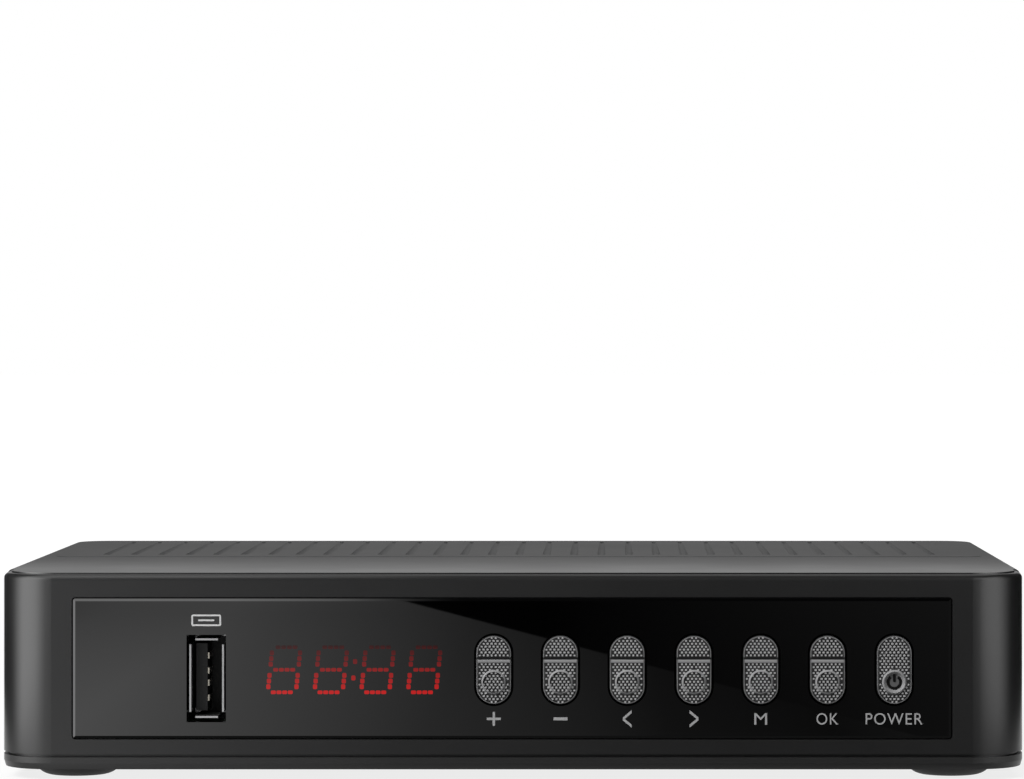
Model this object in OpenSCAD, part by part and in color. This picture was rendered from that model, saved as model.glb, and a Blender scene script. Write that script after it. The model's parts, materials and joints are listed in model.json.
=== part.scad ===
// Set-top decoder box: a low moulded case with a smoked front window, seven push keys,
// an upright data socket, a clock display and aerial, picture, sound and power sockets behind.
// Millimetres. +X is right, +Z is up and the front looks along -Y. The feet stand on z = 0.

/* [Case] */
// Width of the case
case_w = 170; // [168:1:190]
// Depth of the case from the bezel's face to the back edge
case_d = 105; // [100:1:140]
// Height of the plain front part of the top over the floor
case_h = 34.2; // [33.6:0.1:45]
// Thickness of the side and back walls
wall = 2; // [1.6:0.1:2.4]
// Thickness of the top
top_t = 2; // [1.6:0.1:2.6]
// Thickness of the floor of the base
floor_t = 2; // [1.8:0.1:3]
// Radius of the two upright front corners
front_r = 9; // [7:0.5:10]
// Radius of the two upright back corners
rear_r = 6; // [5:0.5:9]
// Radius along the top edges
edge_r = 1; // [0.5:0.1:1.5]
// Height of the bevel round the underside of the base
floor_bevel = 1; // [0.4:0.1:1.6]
// How far that bevel reaches in
floor_bevel_in = 0.3; // [0.2:0.1:1.2]
// Height of the shadow line between the base and the upper shells
seam_h = 0.5; // [0.3:0.1:0.9]
// Depth of the shadow line
seam_d = 0.8; // [0.4:0.1:1.2]
// How far the cover's top stands over the bezel's upper edge
cover_step = 0.25; // [0:0.05:0.5]
// Clearance between shells that slot together
fit_gap = 0.1; // [0.05:0.05:0.2]
// Height of the tongues on the base that locate the upper shells
tongue_h = 2.5; // [1.5:0.5:4]
// Thickness of the locating tongues and ribs
tongue_t = 1.2; // [0.8:0.1:2]

/* [Front bezel] */
// Thickness of the bezel's front wall
front_t = 3; // [2.6:0.1:4]
// How far the bezel runs back along the sides behind its corners
side_return = 3; // [2:0.5:8]
// Length of the hooks that reach behind the cover's side walls
hook_l = 9; // [6:0.5:14]
// Height of the hooks
hook_h = 10; // [6:0.5:14]
// Diameter of the bosses that carry the front board
front_boss_d = 5; // [4.5:0.1:5.6]

/* [Window] */
// Distance from the case's sides to the window
window_margin = 12.6; // [11.5:0.1:13]
// Height of the window
window_h = 23; // [22:0.2:24]
// Height of the window's lower edge over the seam
window_rise = 3.2; // [2.6:0.1:4]
// Thickness of the window
window_t = 1.9; // [1.5:0.1:2.2]
// How far the window stands proud of the bezel
window_proud = 0.4; // [0:0.05:0.6]
// Gap all round the window
window_gap = 0.25; // [0.1:0.05:0.5]
// Width of the bevel along the window's front edges
window_bevel = 0.4; // [0.2:0.1:1]
// Depth of that bevel
window_bevel_d = 0.35; // [0.1:0.05:0.6]
// Radius of the window's corners
window_r = 0.4; // [0.3:0.1:1.5]

/* [Keys] */
// Width of a key
key_w = 5.8; // [5:0.1:6.2]
// Length of a key
key_l = 11.3; // [10:0.1:12]
// Distance between neighbouring keys
key_pitch = 11; // [10.4:0.1:11.4]
// Distance from the window's right edge to the last key
key_inset = 9.4; // [9:0.1:10.4]
// Height of the row of keys over the window's lower edge
key_rise = 11.3; // [10.5:0.1:12]
// Gap round a key
key_gap = 0.35; // [0.3:0.05:0.5]
// How far a key stands proud of the window
key_proud = 0.6; // [0.4:0.1:1.2]
// Radius round a key's front edge
key_edge_r = 0.5; // [0.2:0.1:0.9]
// How far a key's rim reaches behind the bezel
key_lip = 0.95; // [0.6:0.05:1.1]
// Thickness of a key's rim
key_lip_t = 1.1; // [0.8:0.1:1.6]
// Play between a key's rim and the bezel
key_play = 0.05; // [0.02:0.01:0.1]
// Diameter of a key's stem
key_stem_d = 4; // [3:0.1:5]
// Length of a key's stem
key_stem_l = 0.9; // [0.6:0.1:2]
// How far a key travels
key_travel = 0.3; // [0.2:0.05:0.5]
// Diameter of the round finger mark on a key
mark_d = 3.7; // [2.5:0.1:4.2]
// Height of the finger mark
mark_h = 0.2; // [0.1:0.05:0.4]
// Distance of the finger mark below the middle of a key
mark_drop = 2; // [1.5:0.1:2.4]
// Distance of the cross groove above the middle of a key
groove_rise = 1.9; // [1.2:0.1:2.5]
// Height of the cross groove
groove_h = 0.4; // [0.2:0.05:0.6]
// Depth of the cross groove
groove_d = 0.3; // [0.1:0.05:0.5]

/* [Key switches] */
// Width of a switch
switch_w = 6; // [5:0.1:6.5]
// Height of a switch's housing
switch_h = 3.5; // [3:0.1:5]
// Diameter of a switch's plunger
plunger_d = 3.5; // [2.5:0.1:4]
// How far a plunger stands out of its housing
plunger_rise = 1; // [0.8:0.1:2]
// Length of a plunger inside its housing
plunger_in = 1.6; // [1:0.1:2]
// Clearance round a plunger
plunger_gap = 0.08; // [0.05:0.01:0.1]

/* [Display] */
// Distance from the window's left edge to the middle of the display
display_inset = 46.4; // [45:0.1:47.5]
// Height of a digit
digit_h = 8.1; // [7:0.1:9]
// Width of a digit
digit_w = 5.3; // [4.5:0.1:5.8]
// Distance between neighbouring digits
digit_pitch = 7.7; // [7:0.1:7.9]
// Slant of the digits in degrees
digit_slant = 6; // [0:1:10]
// Width of a segment
segment_w = 0.85; // [0.6:0.05:1.2]
// Thickness of a segment
segment_t = 0.4; // [0.2:0.1:1]
// Plain edge of the display round its digits
display_edge = 1.1; // [0.8:0.1:1.4]
// Gap between the display and the window
display_gap = 0.2; // [0.1:0.05:0.4]

/* [Data socket] */
// Distance from the window's left edge to the middle of the socket
data_inset = 22; // [21:0.1:23.5]
// Width of the socket's shell
data_w = 5.7; // [5.5:0.1:6]
// Height of the socket's shell
data_l = 13.1; // [12.8:0.1:13.4]
// Depth of the socket's shell
data_d = 14; // [12.5:0.5:17]
// Thickness of the shell's metal
data_metal = 0.3; // [0.2:0.05:0.4]
// Gap between the shell's sides and the opening
data_gap = 0.4; // [0.2:0.05:0.6]
// Gap between the shell's ends and the opening
data_end_gap = 0.65; // [0.3:0.05:0.9]
// How far the shell's mouth lies behind the bezel's face
data_sink = 0.3; // [0:0.1:0.8]
// Width of the reliefs that part the four lips at the corners of the shell's mouth
data_relief = 1; // [0.6:0.1:1.2]
// Depth of those reliefs
data_relief_d = 10; // [2:0.5:11]
// Thickness of the tongue that carries the contacts
data_tongue_t = 1.84; // [1.6:0.02:2]
// Distance from the tongue to the shell's left wall
data_tongue_off = 0.6; // [0.5:0.05:0.8]
// How far the tongue's tip lies inside the mouth
data_tongue_in = 2.6; // [1:0.1:3]
// Thickness of the block behind the tongue
data_block_t = 4; // [3:0.5:5]
// Thickness of the block's wall behind the shell
data_back_t = 1; // [0.6:0.1:2]
// Gap between the tongue's ends and the shell
data_tongue_gap = 0.7; // [0.5:0.1:1]
// Height of the block's foot under the shell
data_seat = 0.9; // [0.4:0.05:1]
// How far the main board's tab reaches under the socket's shell
data_tab_l = 7.5; // [6:0.5:9]
// Width of the main board's tab on each side of the socket
data_tab_edge = 4; // [2:0.5:6]

/* [Boards] */
// Thickness of the circuit boards
board_t = 1.6; // [1.2:0.2:2]
// Height of the posts under the main board
standoff = 4; // [3.5:0.1:5]
// Distance from the case's sides to the main board
board_margin = 16; // [15:0.5:20]
// Distance from the bezel's face to the main board's front edge
board_front = 13.5; // [13:0.5:20]
// Distance from the case's back edge to the main board's back edge
board_back = 6.5; // [6:0.5:10]
// Distance from the main board's edges to its screws
board_screw_inset = 6; // [5:0.5:9]
// How far the front board reaches past the window's ends
front_board_over = 1.4; // [1.2:0.1:3]
// Height of the front board's lower edge over the main board
front_board_rise = 1.2; // [0.8:0.1:2]
// Distance from the front board's upper edge to the top
front_board_drop = 2.2; // [1.5:0.1:3]
// Gap between the front board's notch and the data socket
data_notch_gap = 1.2; // [0.5:0.1:2]

/* [Vents] */
// Width of a groove in the top and of a slot in the base
vent_w = 1.4; // [1:0.1:2.4]
// Depth of a groove at its front end
vent_d = 0.6; // [0.4:0.05:0.8]
// Depth of a groove at its back end
vent_end_d = 0.15; // [0.1:0.05:0.3]
// Distance between neighbouring grooves
vent_pitch = 4.9; // [3.5:0.1:7]
// Plain strip between the case's sides and the outer grooves
vent_margin = 9.5; // [8:0.5:14]
// Distance from the bezel's face to the grooves
vent_front = 55; // [45:0.5:60]
// Plain strip between the grooves and the back edge
vent_back = 8; // [6.5:0.5:14]
// Length of the slot at a groove's front end that goes right through
vent_open_l = 7; // [5:0.5:24]
// Width of that slot
vent_open_w = 1; // [0.8:0.1:1.1]
// Height of the raised field that holds the grooves
field_rise = 0.05; // [0.05:0.05:0.8]
// Distance from the raised field's front edge to the grooves
field_lead = 6.5; // [1:0.5:8]
// Plain strip between the raised field and the case's edges
field_margin = 3; // [2.5:0.5:5]
// Length of a slot in the base
base_vent_l = 22; // [10:1:26]
// Number of slots in each half of the base
base_vents = 7; // [3:1:9]

/* [Fasteners] */
// Diameter of the screws
screw_d = 2.9; // [2.5:0.1:3.2]
// Diameter of the screws' heads
head_d = 5.4; // [5:0.1:5.8]
// Height of the screws' heads
head_h = 2; // [1.5:0.1:2.4]
// Board left round the front screws' heads
head_edge = 0.4; // [0.2:0.1:0.8]
// Clearance round a screw
screw_gap = 0.15; // [0.05:0.05:0.25]
// Distance of the case screws from the case's sides
case_screw_x = 8.5; // [8.2:0.1:9]
// Distance of the front case screws from the bezel's face
case_screw_front = 24; // [24:0.5:30]
// Distance of the rear case screws from the back edge
case_screw_back = 25; // [24:0.5:32]
// Depth of the wells that sink the case screws into the base
well_depth = 4.5; // [4:0.1:5.5]
// Height of the base's pillars round the wells
pillar_h = 6; // [5:0.5:9]
// How far the case screws reach into the cover's posts
case_screw_reach = 8; // [5:0.5:12]

/* [Feet] */
// Height of the feet
foot_h = 1.8; // [1.4:0.1:3]
// Diameter of a foot where it meets the base
foot_d = 14.5; // [11:0.5:15]
// Diameter of a foot's flat sole
sole_d = 10; // [7:0.2:10.4]
// Distance of the feet from the case's sides
foot_x = 12; // [11:0.5:16]
// Distance of the feet from the case's front and back edges
foot_y = 12; // [10:0.5:12.5]

/* [Rear panel] */
// Thickness of the rear panel
panel_t = 1.5; // [1:0.1:2]
// Width of the frame that the cover puts round the rear panel
panel_frame = 2.5; // [1.5:0.1:3.5]
// Clearance between a socket and its hole in the rear panel
socket_gap = 0.25; // [0.1:0.05:0.4]
// How far the sockets' collars stand out of the rear panel
socket_reach = 0.5; // [0.2:0.1:1]

/* [Aerial sockets] */
// Distance of the aerial input from the case's left side
rf_in_x = 36; // [32:0.5:38]
// Distance between the aerial input and output
rf_pitch = 18; // [16:0.5:19]
// How far the aerial sockets stand out behind the back edge
rf_out = 8; // [6:0.5:10]
// Inner diameter of the input's barrel
rf_in_bore = 9.55; // [9.5:0.05:9.6]
// Outer diameter of the output's barrel
rf_out_d = 9.5; // [9.45:0.05:9.55]
// Thickness of the barrels
rf_wall = 0.65; // [0.5:0.05:0.8]
// Diameter of the output's centre pin
rf_pin_d = 2.36; // [2.3:0.02:2.4]
// Bore of the input's centre contact
rf_contact_bore = 2.4; // [2.38:0.02:2.5]
// Outer diameter of the input's centre contact
rf_contact_d = 3.6; // [3.4:0.1:4]
// How far the centre contacts end inside the barrels
rf_contact_sink = 1.2; // [0.8:0.1:2]
// Thickness of the insulating discs
rf_disc_t = 2; // [1.5:0.5:4]
// Thickness of the closed end of the input's centre contact
rf_contact_floor = 1; // [0.5:0.1:2]
// Width of the tuner's can
tuner_w = 38; // [34:0.5:40]
// Depth of the tuner's can
tuner_d = 24; // [18:0.5:30]
// Height of the tuner's can
tuner_h = 13; // [12.5:0.5:16]
// Thickness of the can's metal
can_metal = 0.5; // [0.3:0.1:1]
// Diameter of the output's shoulder in the rear panel
rf_shoulder_d = 11; // [10.5:0.1:12]

/* [Picture, sound and power sockets] */
// Distance of the picture socket from the case's middle
picture_x = 2; // [-2:0.5:6]
// Inner width of the picture socket
picture_w = 14; // [13.9:0.05:14.1]
// Inner height of the picture socket
picture_h = 4.55; // [4.5:0.05:4.6]
// Thickness of the picture socket's metal
picture_metal = 0.4; // [0.3:0.05:0.5]
// Depth of the picture socket
picture_d = 11.5; // [10:0.5:14]
// Height of the step at the picture socket's lower corners
picture_step = 1.6; // [1.2:0.1:2]
// Thickness of the picture socket's tongue
picture_tongue_t = 1.3; // [1:0.1:1.6]
// Gap between that tongue's sides and the shell
picture_tongue_gap = 1.3; // [1:0.1:2]
// How far that tongue's tip lies inside the mouth
picture_tongue_in = 1.2; // [0.6:0.1:2]
// Thickness of the block behind that tongue
picture_back_t = 3; // [2:0.5:4]
// Distance of the sound socket from the case's middle
av_x = 27; // [22:0.5:32]
// Bore of the sound socket
av_bore = 3.6; // [3.55:0.05:3.7]
// Diameter of the sound socket's collar
av_collar_d = 5.8; // [5.4:0.1:6]
// Width and height of the sound socket's body
av_body = 6.4; // [6.2:0.1:8]
// Depth of the sound socket's body
av_d = 12; // [11:0.5:16]
// Thickness of the closed end of the sound socket's bore
av_floor = 1; // [0.6:0.1:2]
// Distance of the power socket from the case's right side
dc_x = 32; // [30:0.5:36]
// Bore of the power socket
dc_bore = 6.3; // [6:0.1:6.6]
// Diameter of the power socket's pin
dc_pin_d = 2; // [1.6:0.1:2.5]
// Width of the power socket's body
dc_w = 9; // [8.6:0.1:11]
// Height of the power socket's body
dc_h = 11; // [10:0.5:13]
// Depth of the power socket's body
dc_d = 13; // [12:0.5:16]
// Thickness of the closed end of the power socket's bore
dc_back_t = 3; // [2:0.5:4]
// How far the power pin ends inside the bore
dc_pin_in = 0.8; // [0.5:0.1:2]

/* [Hidden] */
$fn = 64;
cut = 1;
key_names = ["plus", "minus", "left", "right", "menu", "ok", "power"];
key_count = len(key_names);

// Heights
z_seam = foot_h + floor_t;
z_lip = case_h - cover_step;
z_ledge = case_h - top_t;
z_board = z_seam + standoff;
z_board_top = z_board + board_t;
z_window = z_seam + window_rise;
z_key = z_window + key_rise;
z_data = z_board_top + data_seat + data_l / 2;
z_pillar = z_seam + pillar_h;
z_rf = z_board_top + tuner_h / 2;
z_head = foot_h + well_depth;

// Depths behind the bezel's face
lip_flat = 0.2;
lip_w = edge_r + lip_flat;
recess_d = window_t - window_proud;
key_face = window_proud + key_proud;
s_plunger = front_t + key_play + key_lip_t + key_stem_l;
s_switch = s_plunger + plunger_rise;
s_front_board = s_switch + switch_h;
s_front_board_back = s_front_board + board_t;
s_return = front_r + side_return;
s_panel_out = case_d - wall - fit_gap;
s_panel_in = s_panel_out - panel_t;
s_board_back = case_d - board_back;
s_tab = data_sink + data_d - data_tab_l;
s_barrel = case_d + rf_out;
s_tuner_back = s_panel_in - fit_gap;
s_shoulder = s_panel_out + socket_reach;
s_picture = s_panel_out + socket_reach - picture_d;

// The whole box is centred on the origin from front to back
front_out = key_face + mark_h;
y_front = front_out - (front_out + case_d + rf_out) / 2;

// Places across the case
half_w = case_w / 2;
window_w = case_w - 2 * window_margin;
key_x = [for (i = [0:key_count - 1]) window_w / 2 - key_inset - (key_count - 1 - i) * key_pitch];
rf_x = [rf_in_x - half_w, rf_in_x + rf_pitch - half_w];
tuner_x = (rf_x[0] + rf_x[1]) / 2;
power_x = half_w - dc_x;
board_half = half_w - board_margin;
panel_half = half_w - rear_r;

// Keys and their switches
plunger_spare = 0.3;
switch_r = 0.6;
key_hole_w = key_w + 2 * key_gap;
key_hole_l = key_l + 2 * key_gap;
key_rim_w = key_hole_w + 2 * key_lip;
key_rim_l = key_hole_l + 2 * key_lip;

// Display, which keeps clear of the first key
display_w = 3 * digit_pitch + digit_w + digit_h * tan(digit_slant) + 2 * display_edge;
display_h = digit_h + 2 * display_edge;
s_display = recess_d + display_gap;
display_clear = 0.3;
display_room = 1;
segment_gap = 0.15;
display_x = min(display_inset - window_w / 2, key_x[0] - key_rim_w / 2 - display_room - display_w / 2);

// Data socket, which keeps clear of the display
data_room = 1.5;
data_hole_w = data_w + 2 * data_gap;
data_x = min(data_inset - window_w / 2, display_x - display_w / 2 - data_room - data_hole_w / 2);

// Contacts of the data socket, about its middle
data_contact_z = [-3.5, -1, 1, 3.5];
data_contact_w = 1;
data_contact_t = 0.25;
data_contact_l = 6;
data_contact_in = 0.5;

// Front board and its screws
front_board_half = window_w / 2 + front_board_over;
z_front_board = z_board_top + front_board_rise;
front_board_h = z_ledge - front_board_drop - z_front_board;
front_screw_edge = head_d / 2 + head_edge;
front_screws = [for (side = [-1, 1], level = [0, 1])
    [side * (front_board_half - front_screw_edge),
     level == 0 ? z_front_board + front_screw_edge : z_front_board + front_board_h - front_screw_edge]];

// Remote-control eye, between the data socket and the window's left edge
eye_x = (data_x - data_hole_w / 2 - window_w / 2) / 2;
z_eye = z_front_board + front_board_h / 2;
eye_w = 5.4;
eye_h = 7;
eye_t = 3.4;
eye_lens_d = 5;
eye_hole_d = 6;

// Screws
screw_hole_d = screw_d + 2 * screw_gap;
pilot_gap = 0.05;
pilot_d = screw_d + 2 * pilot_gap;
pilot_spare = 0.5;
well_gap = 0.4;
well_d = head_d + 2 * well_gap;
pillar_wall = 0.8;
pillar_d = well_d + 2 * pillar_wall;
post_wall = 2;
post_d = pilot_d + 2 * post_wall;
case_screws_at = [for (side = [-1, 1], s = [case_screw_front, case_d - case_screw_back])
    [side * (half_w - case_screw_x), s]];
board_screw_s = [board_front + board_screw_inset, s_board_back - board_screw_inset];
board_screws_at = [for (side = [-1, 1], s = board_screw_s) [side * (board_half - board_screw_inset), s]];
board_post_wall = 1.7;
board_post_d = pilot_d + 2 * board_post_wall;
board_screw_reach = standoff - 2 * pilot_spare;
front_screw_reach = s_front_board - front_t - 3 * pilot_spare;

// Space at the ends of the side tongues
tongue_end = 2;

// Feet
feet = [for (side = [-1, 1], s = [foot_y, case_d - foot_y]) [side * (half_w - foot_x), s]];
foot_bulge = 0.35;

// Slots
vent_l = case_d - vent_back - vent_front;
vent_count = floor((case_w - 2 * vent_margin - vent_w) / vent_pitch) + 1;
field_front = vent_front - field_lead;
base_vent_x = 24;
base_vent_pitch = 5;

// Ribbon between the two boards
ribbon_w = 18;
ribbon_t = 0.9;
ribbon_r = 8;
ribbon_straight = 1;
plug_w = 20;
plug_t = 5;
plug_h = 5.5;
ribbon_x = 24;
s_plug = s_front_board_back + plug_h;
z_plug = z_board_top + plug_h + ribbon_straight + ribbon_r;

// Processor, cooler and other parts of the main board
chip_w = 17;
chip_h = 1.4;
cooler_w = 28;
cooler_h = 9;
cooler_base = 2;
cooler_fins = 8;
cooler_fin_t = 1.2;
chip_x = -4;
chip_at = [chip_x, (board_front + s_board_back) / 2];
memory_size = [10, 13, 1.2];
memory_off_x = 24;
memory_off_y = -8;
memory_at = chip_at + [memory_off_x, memory_off_y];
crystal_size = [4.7, 11, 3.5];
crystal_off_x = -26;
crystal_off_y = -6;
crystal_at = chip_at + [crystal_off_x, crystal_off_y];
chip_r = 0.4;
cap_d = 8;
cap_h = 12;
cap_pitch = 11;
coil_w = 7;
coil_h = 4;
coil_r = 1;
supply_gap = 9;
supply_s = s_board_back - dc_d - supply_gap;

// Moves a shape drawn in (x, depth behind the bezel's face, z) to its place
module from_face() {
    translate([0, y_front, 0]) children();
}

// Turns a flat shape drawn in (x, z) to face the front and gives it a depth
module panel_shape(s, depth) {
    translate([0, s + depth, 0]) rotate([90, 0, 0]) linear_extrude(depth) children();
}

module rounded_rect(w, h, r) {
    square([w, h - 2 * r], center = true);
    square([w - 2 * r, h], center = true);
    for (x = [-1, 1], y = [-1, 1]) translate([x * (w / 2 - r), y * (h / 2 - r)]) circle(r);
}

// Slot with round ends, standing along y
module slot_shape(w, l) {
    square([w, l - w], center = true);
    for (end = [-1, 1]) translate([0, end * (l - w) / 2]) circle(d = w);
}

// Quarter disc that rounds an outer top edge
module edge_quarter(r) {
    intersection() {
        circle(r);
        translate([-r, 0]) square(r);
    }
}

// Sections of the walls are drawn in (distance inwards from the outline, z)
module run_front(from_x, to_x) {
    translate([from_x, 0, 0]) rotate([90, 0, 90]) linear_extrude(to_x - from_x) children();
}

module run_back(from_x, to_x) {
    translate([to_x, case_d, 0]) rotate([90, 0, 270]) linear_extrude(to_x - from_x) children();
}

module run_sides(from_s, to_s) {
    translate([-half_w, to_s, 0]) rotate([90, 0, 0]) linear_extrude(to_s - from_s) children();
    translate([half_w, from_s, 0]) rotate([90, 0, 180]) linear_extrude(to_s - from_s) children();
}

// A section turned round the two front corners or the two back corners
module turn_corners(r, back = false) {
    s = back ? case_d - r : r;
    for (side = [-1, 1])
        translate([side * (half_w - r), s, 0])
            rotate([0, 0, back ? (side > 0 ? 0 : 90) : (side > 0 ? 270 : 180)])
                rotate_extrude(angle = 90) translate([r, 0]) mirror([1, 0]) children();
}

module seam_rebate() {
    translate([-cut, z_seam - cut]) square([cut + seam_d, cut + seam_h]);
}

module bezel_section(t) {
    difference() {
        union() {
            translate([0, z_seam]) square([t, z_ledge - z_seam]);
            translate([0, z_seam]) square([lip_w, z_lip - edge_r - z_seam]);
            translate([edge_r, z_seam]) square([lip_w - edge_r, z_lip - z_seam]);
            translate([edge_r, z_lip - edge_r]) edge_quarter(edge_r);
        }
        seam_rebate();
    }
}

module cover_section(reach) {
    difference() {
        union() {
            translate([0, z_seam]) square([wall, case_h - edge_r - z_seam]);
            translate([edge_r, z_ledge]) square([reach - edge_r, top_t]);
            translate([edge_r, case_h - edge_r]) edge_quarter(edge_r);
        }
        seam_rebate();
    }
}

module floor_section(reach) {
    polygon([[floor_bevel_in, foot_h], [reach, foot_h], [reach, z_seam],
             [0, z_seam], [0, foot_h + floor_bevel]]);
}

module base_floor() {
    run_front(front_r - half_w, half_w - front_r) floor_section(front_r);
    run_back(rear_r - half_w, half_w - rear_r) floor_section(rear_r);
    run_sides(front_r, case_d - rear_r) floor_section(rear_r);
    turn_corners(front_r) floor_section(front_r);
    turn_corners(rear_r, back = true) floor_section(rear_r);
    translate([rear_r - half_w, front_r, foot_h])
        cube([case_w - 2 * rear_r, case_d - front_r - rear_r, floor_t]);
}

// Upright tongues that hold the bezel and the cover in line, and the two ribs that hold the rear panel
module base_tongues() {
    front_half = half_w - front_r - side_return;
    side_s = s_return + hook_l + tongue_end;
    translate([-front_half, front_t + fit_gap, z_seam]) cube([2 * front_half, tongue_t, tongue_h]);
    for (side = [-1, 1])
        translate([side * (half_w - wall - fit_gap - tongue_t / 2) - tongue_t / 2, side_s, z_seam])
            cube([tongue_t, case_d - rear_r - tongue_end - side_s, tongue_h]);
    translate([-panel_half, s_panel_in - fit_gap - tongue_t, z_seam])
        cube([2 * panel_half, tongue_t, tongue_h]);
}

module base_slots() {
    for (side = [-1, 1], i = [0:base_vents - 1]) {
        x = side * base_vent_x + (i - (base_vents - 1) / 2) * base_vent_pitch;
        translate([x, chip_at[1], foot_h - cut])
            linear_extrude(floor_t + 2 * cut) slot_shape(vent_w, base_vent_l);
    }
}

module base_tray() {
    color("#202022") from_face() difference() {
        union() {
            base_floor();
            base_tongues();
            for (p = board_screws_at)
                translate([p[0], p[1], z_seam]) cylinder(d = board_post_d, h = standoff);
            for (p = case_screws_at)
                translate([p[0], p[1], z_seam]) cylinder(d = pillar_d, h = pillar_h);
        }
        for (p = board_screws_at)
            translate([p[0], p[1], z_board - board_screw_reach - pilot_spare])
                cylinder(d = pilot_d, h = standoff);
        for (p = case_screws_at) {
            translate([p[0], p[1], foot_h - cut]) cylinder(d = well_d, h = well_depth + cut);
            translate([p[0], p[1], foot_h]) cylinder(d = screw_hole_d, h = floor_t + pillar_h + cut);
        }
        base_slots();
    }
}

// Front part of the top, inside the bezel's upper lip
module cover_nose() {
    inset = lip_w + fit_gap;
    r = front_r - inset;
    half = half_w - inset;
    back = s_return + fit_gap;
    translate([0, 0, z_ledge]) linear_extrude(top_t) {
        translate([-half, inset + r]) square([2 * half, back - inset - r]);
        translate([r - half, inset]) square([2 * (half - r), r]);
        for (side = [-1, 1])
            translate([side * (half - r), inset + r]) intersection() {
                circle(r);
                translate([side > 0 ? 0 : -r, -r]) square(r);
            }
    }
}

module cover_shell() {
    start = s_return + fit_gap;
    run_sides(start, case_d - rear_r) cover_section(rear_r);
    turn_corners(rear_r, back = true) cover_section(rear_r);
    run_back(rear_r - half_w, half_w - rear_r) cover_section(rear_r);
    translate([rear_r - half_w, start, z_ledge]) cube([case_w - 2 * rear_r, case_d - rear_r - start, top_t]);
    cover_nose();
    translate([0, (field_front + case_d - field_margin) / 2, z_ledge])
        linear_extrude(top_t + field_rise)
            rounded_rect(case_w - 2 * field_margin, case_d - field_margin - field_front, field_margin);
}

// Round-bottomed grooves in the raised field, each with a slot right through at its front end
module vent_grooves() {
    groove_r = (vent_w * vent_w / 4 + vent_d * vent_d) / (2 * vent_d);
    groove_tilt = atan((vent_d - vent_end_d) / vent_l);
    for (i = [0:vent_count - 1]) translate([(i - (vent_count - 1) / 2) * vent_pitch, vent_front, 0]) {
        translate([0, 0, case_h + field_rise - vent_d + groove_r]) rotate([groove_tilt - 90, 0, 0])
            cylinder(r = groove_r, h = vent_l);
        translate([0, (vent_w + vent_open_l) / 2, z_ledge - cut])
            linear_extrude(top_t + field_rise + 2 * cut) slot_shape(vent_open_w, vent_open_l);
    }
}

module top_cover() {
    opening_half = panel_half - panel_frame;
    color("#3a3a3c") from_face() difference() {
        union() {
            difference() {
                cover_shell();
                vent_grooves();
                translate([-opening_half, case_d - rear_r, z_seam - cut])
                    cube([2 * opening_half, rear_r + cut, z_ledge - panel_frame - z_seam + cut]);
            }
            for (p = case_screws_at)
                translate([p[0], p[1], z_pillar]) cylinder(d = post_d, h = z_ledge - z_pillar);
        }
        for (p = case_screws_at)
            translate([p[0], p[1], z_pillar - cut])
                cylinder(d = pilot_d, h = case_screw_reach + pilot_spare + cut);
    }
}

module key_openings(depth_from, depth) {
    for (x = key_x)
        translate([x, 0, z_key]) panel_shape(depth_from, depth) slot_shape(key_hole_w, key_hole_l);
}

module data_opening(depth_from, depth) {
    translate([data_x, 0, z_data]) panel_shape(depth_from, depth)
        square([data_hole_w, data_l + 2 * data_end_gap], center = true);
}

module bezel_skin() {
    run_front(front_r - half_w, half_w - front_r) bezel_section(front_t);
    turn_corners(front_r) bezel_section(wall);
    run_sides(front_r, s_return) bezel_section(wall);
}

// Tabs that reach back from the bezel's returns, inside the cover's side walls
module bezel_hooks() {
    inner = half_w - wall - fit_gap - tongue_t;
    for (side = [0, 1]) mirror([side, 0, 0]) translate([inner, front_r, z_key - hook_h / 2]) {
        cube([tongue_t, side_return + hook_l, hook_h]);
        cube([tongue_t + fit_gap, side_return, hook_h]);
    }
}

module front_bezel() {
    window_mid = z_window + window_h / 2;
    color("#232325") from_face() difference() {
        union() {
            bezel_skin();
            bezel_hooks();
            for (p = front_screws)
                translate([p[0], front_t, p[1]]) rotate([-90, 0, 0])
                    cylinder(d = front_boss_d, h = s_front_board - front_t);
        }
        translate([0, 0, window_mid]) panel_shape(-cut, recess_d + cut)
            rounded_rect(window_w + 2 * window_gap, window_h + 2 * window_gap, window_r + window_gap);
        key_openings(-cut, front_t + 2 * cut);
        data_opening(-cut, front_t + 2 * cut);
        translate([display_x, 0, z_key]) panel_shape(-cut, front_t + 2 * cut)
            square([display_w + 2 * display_clear, display_h + 2 * display_clear], center = true);
        translate([eye_x, -cut, z_eye]) rotate([-90, 0, 0]) cylinder(d = eye_hole_d, h = front_t + 2 * cut);
        for (p = front_screws)
            translate([p[0], s_front_board - front_screw_reach - pilot_spare, p[1]]) rotate([-90, 0, 0])
                cylinder(d = pilot_d, h = front_screw_reach + pilot_spare + cut);
    }
}

// Plate section with both front edges bevelled, drawn in (across, depth)
module bevel_section(l) {
    polygon([[-l / 2, window_t], [-l / 2, window_bevel_d], [window_bevel - l / 2, 0],
             [l / 2 - window_bevel, 0], [l / 2, window_bevel_d], [l / 2, window_t]]);
}

module front_window() {
    window_mid = z_window + window_h / 2;
    color("#141416") from_face() difference() {
        intersection() {
            translate([0, -window_proud, z_window]) linear_extrude(window_h) bevel_section(window_w);
            translate([0, -window_proud, window_mid]) rotate([0, 90, 0])
                linear_extrude(window_w, center = true) bevel_section(window_h);
            translate([0, 0, window_mid]) panel_shape(-window_proud, window_t)
                rounded_rect(window_w, window_h, window_r);
        }
        key_openings(-window_proud - cut, window_t + 2 * cut);
        data_opening(-window_proud - cut, window_t + 2 * cut);
    }
}

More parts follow.
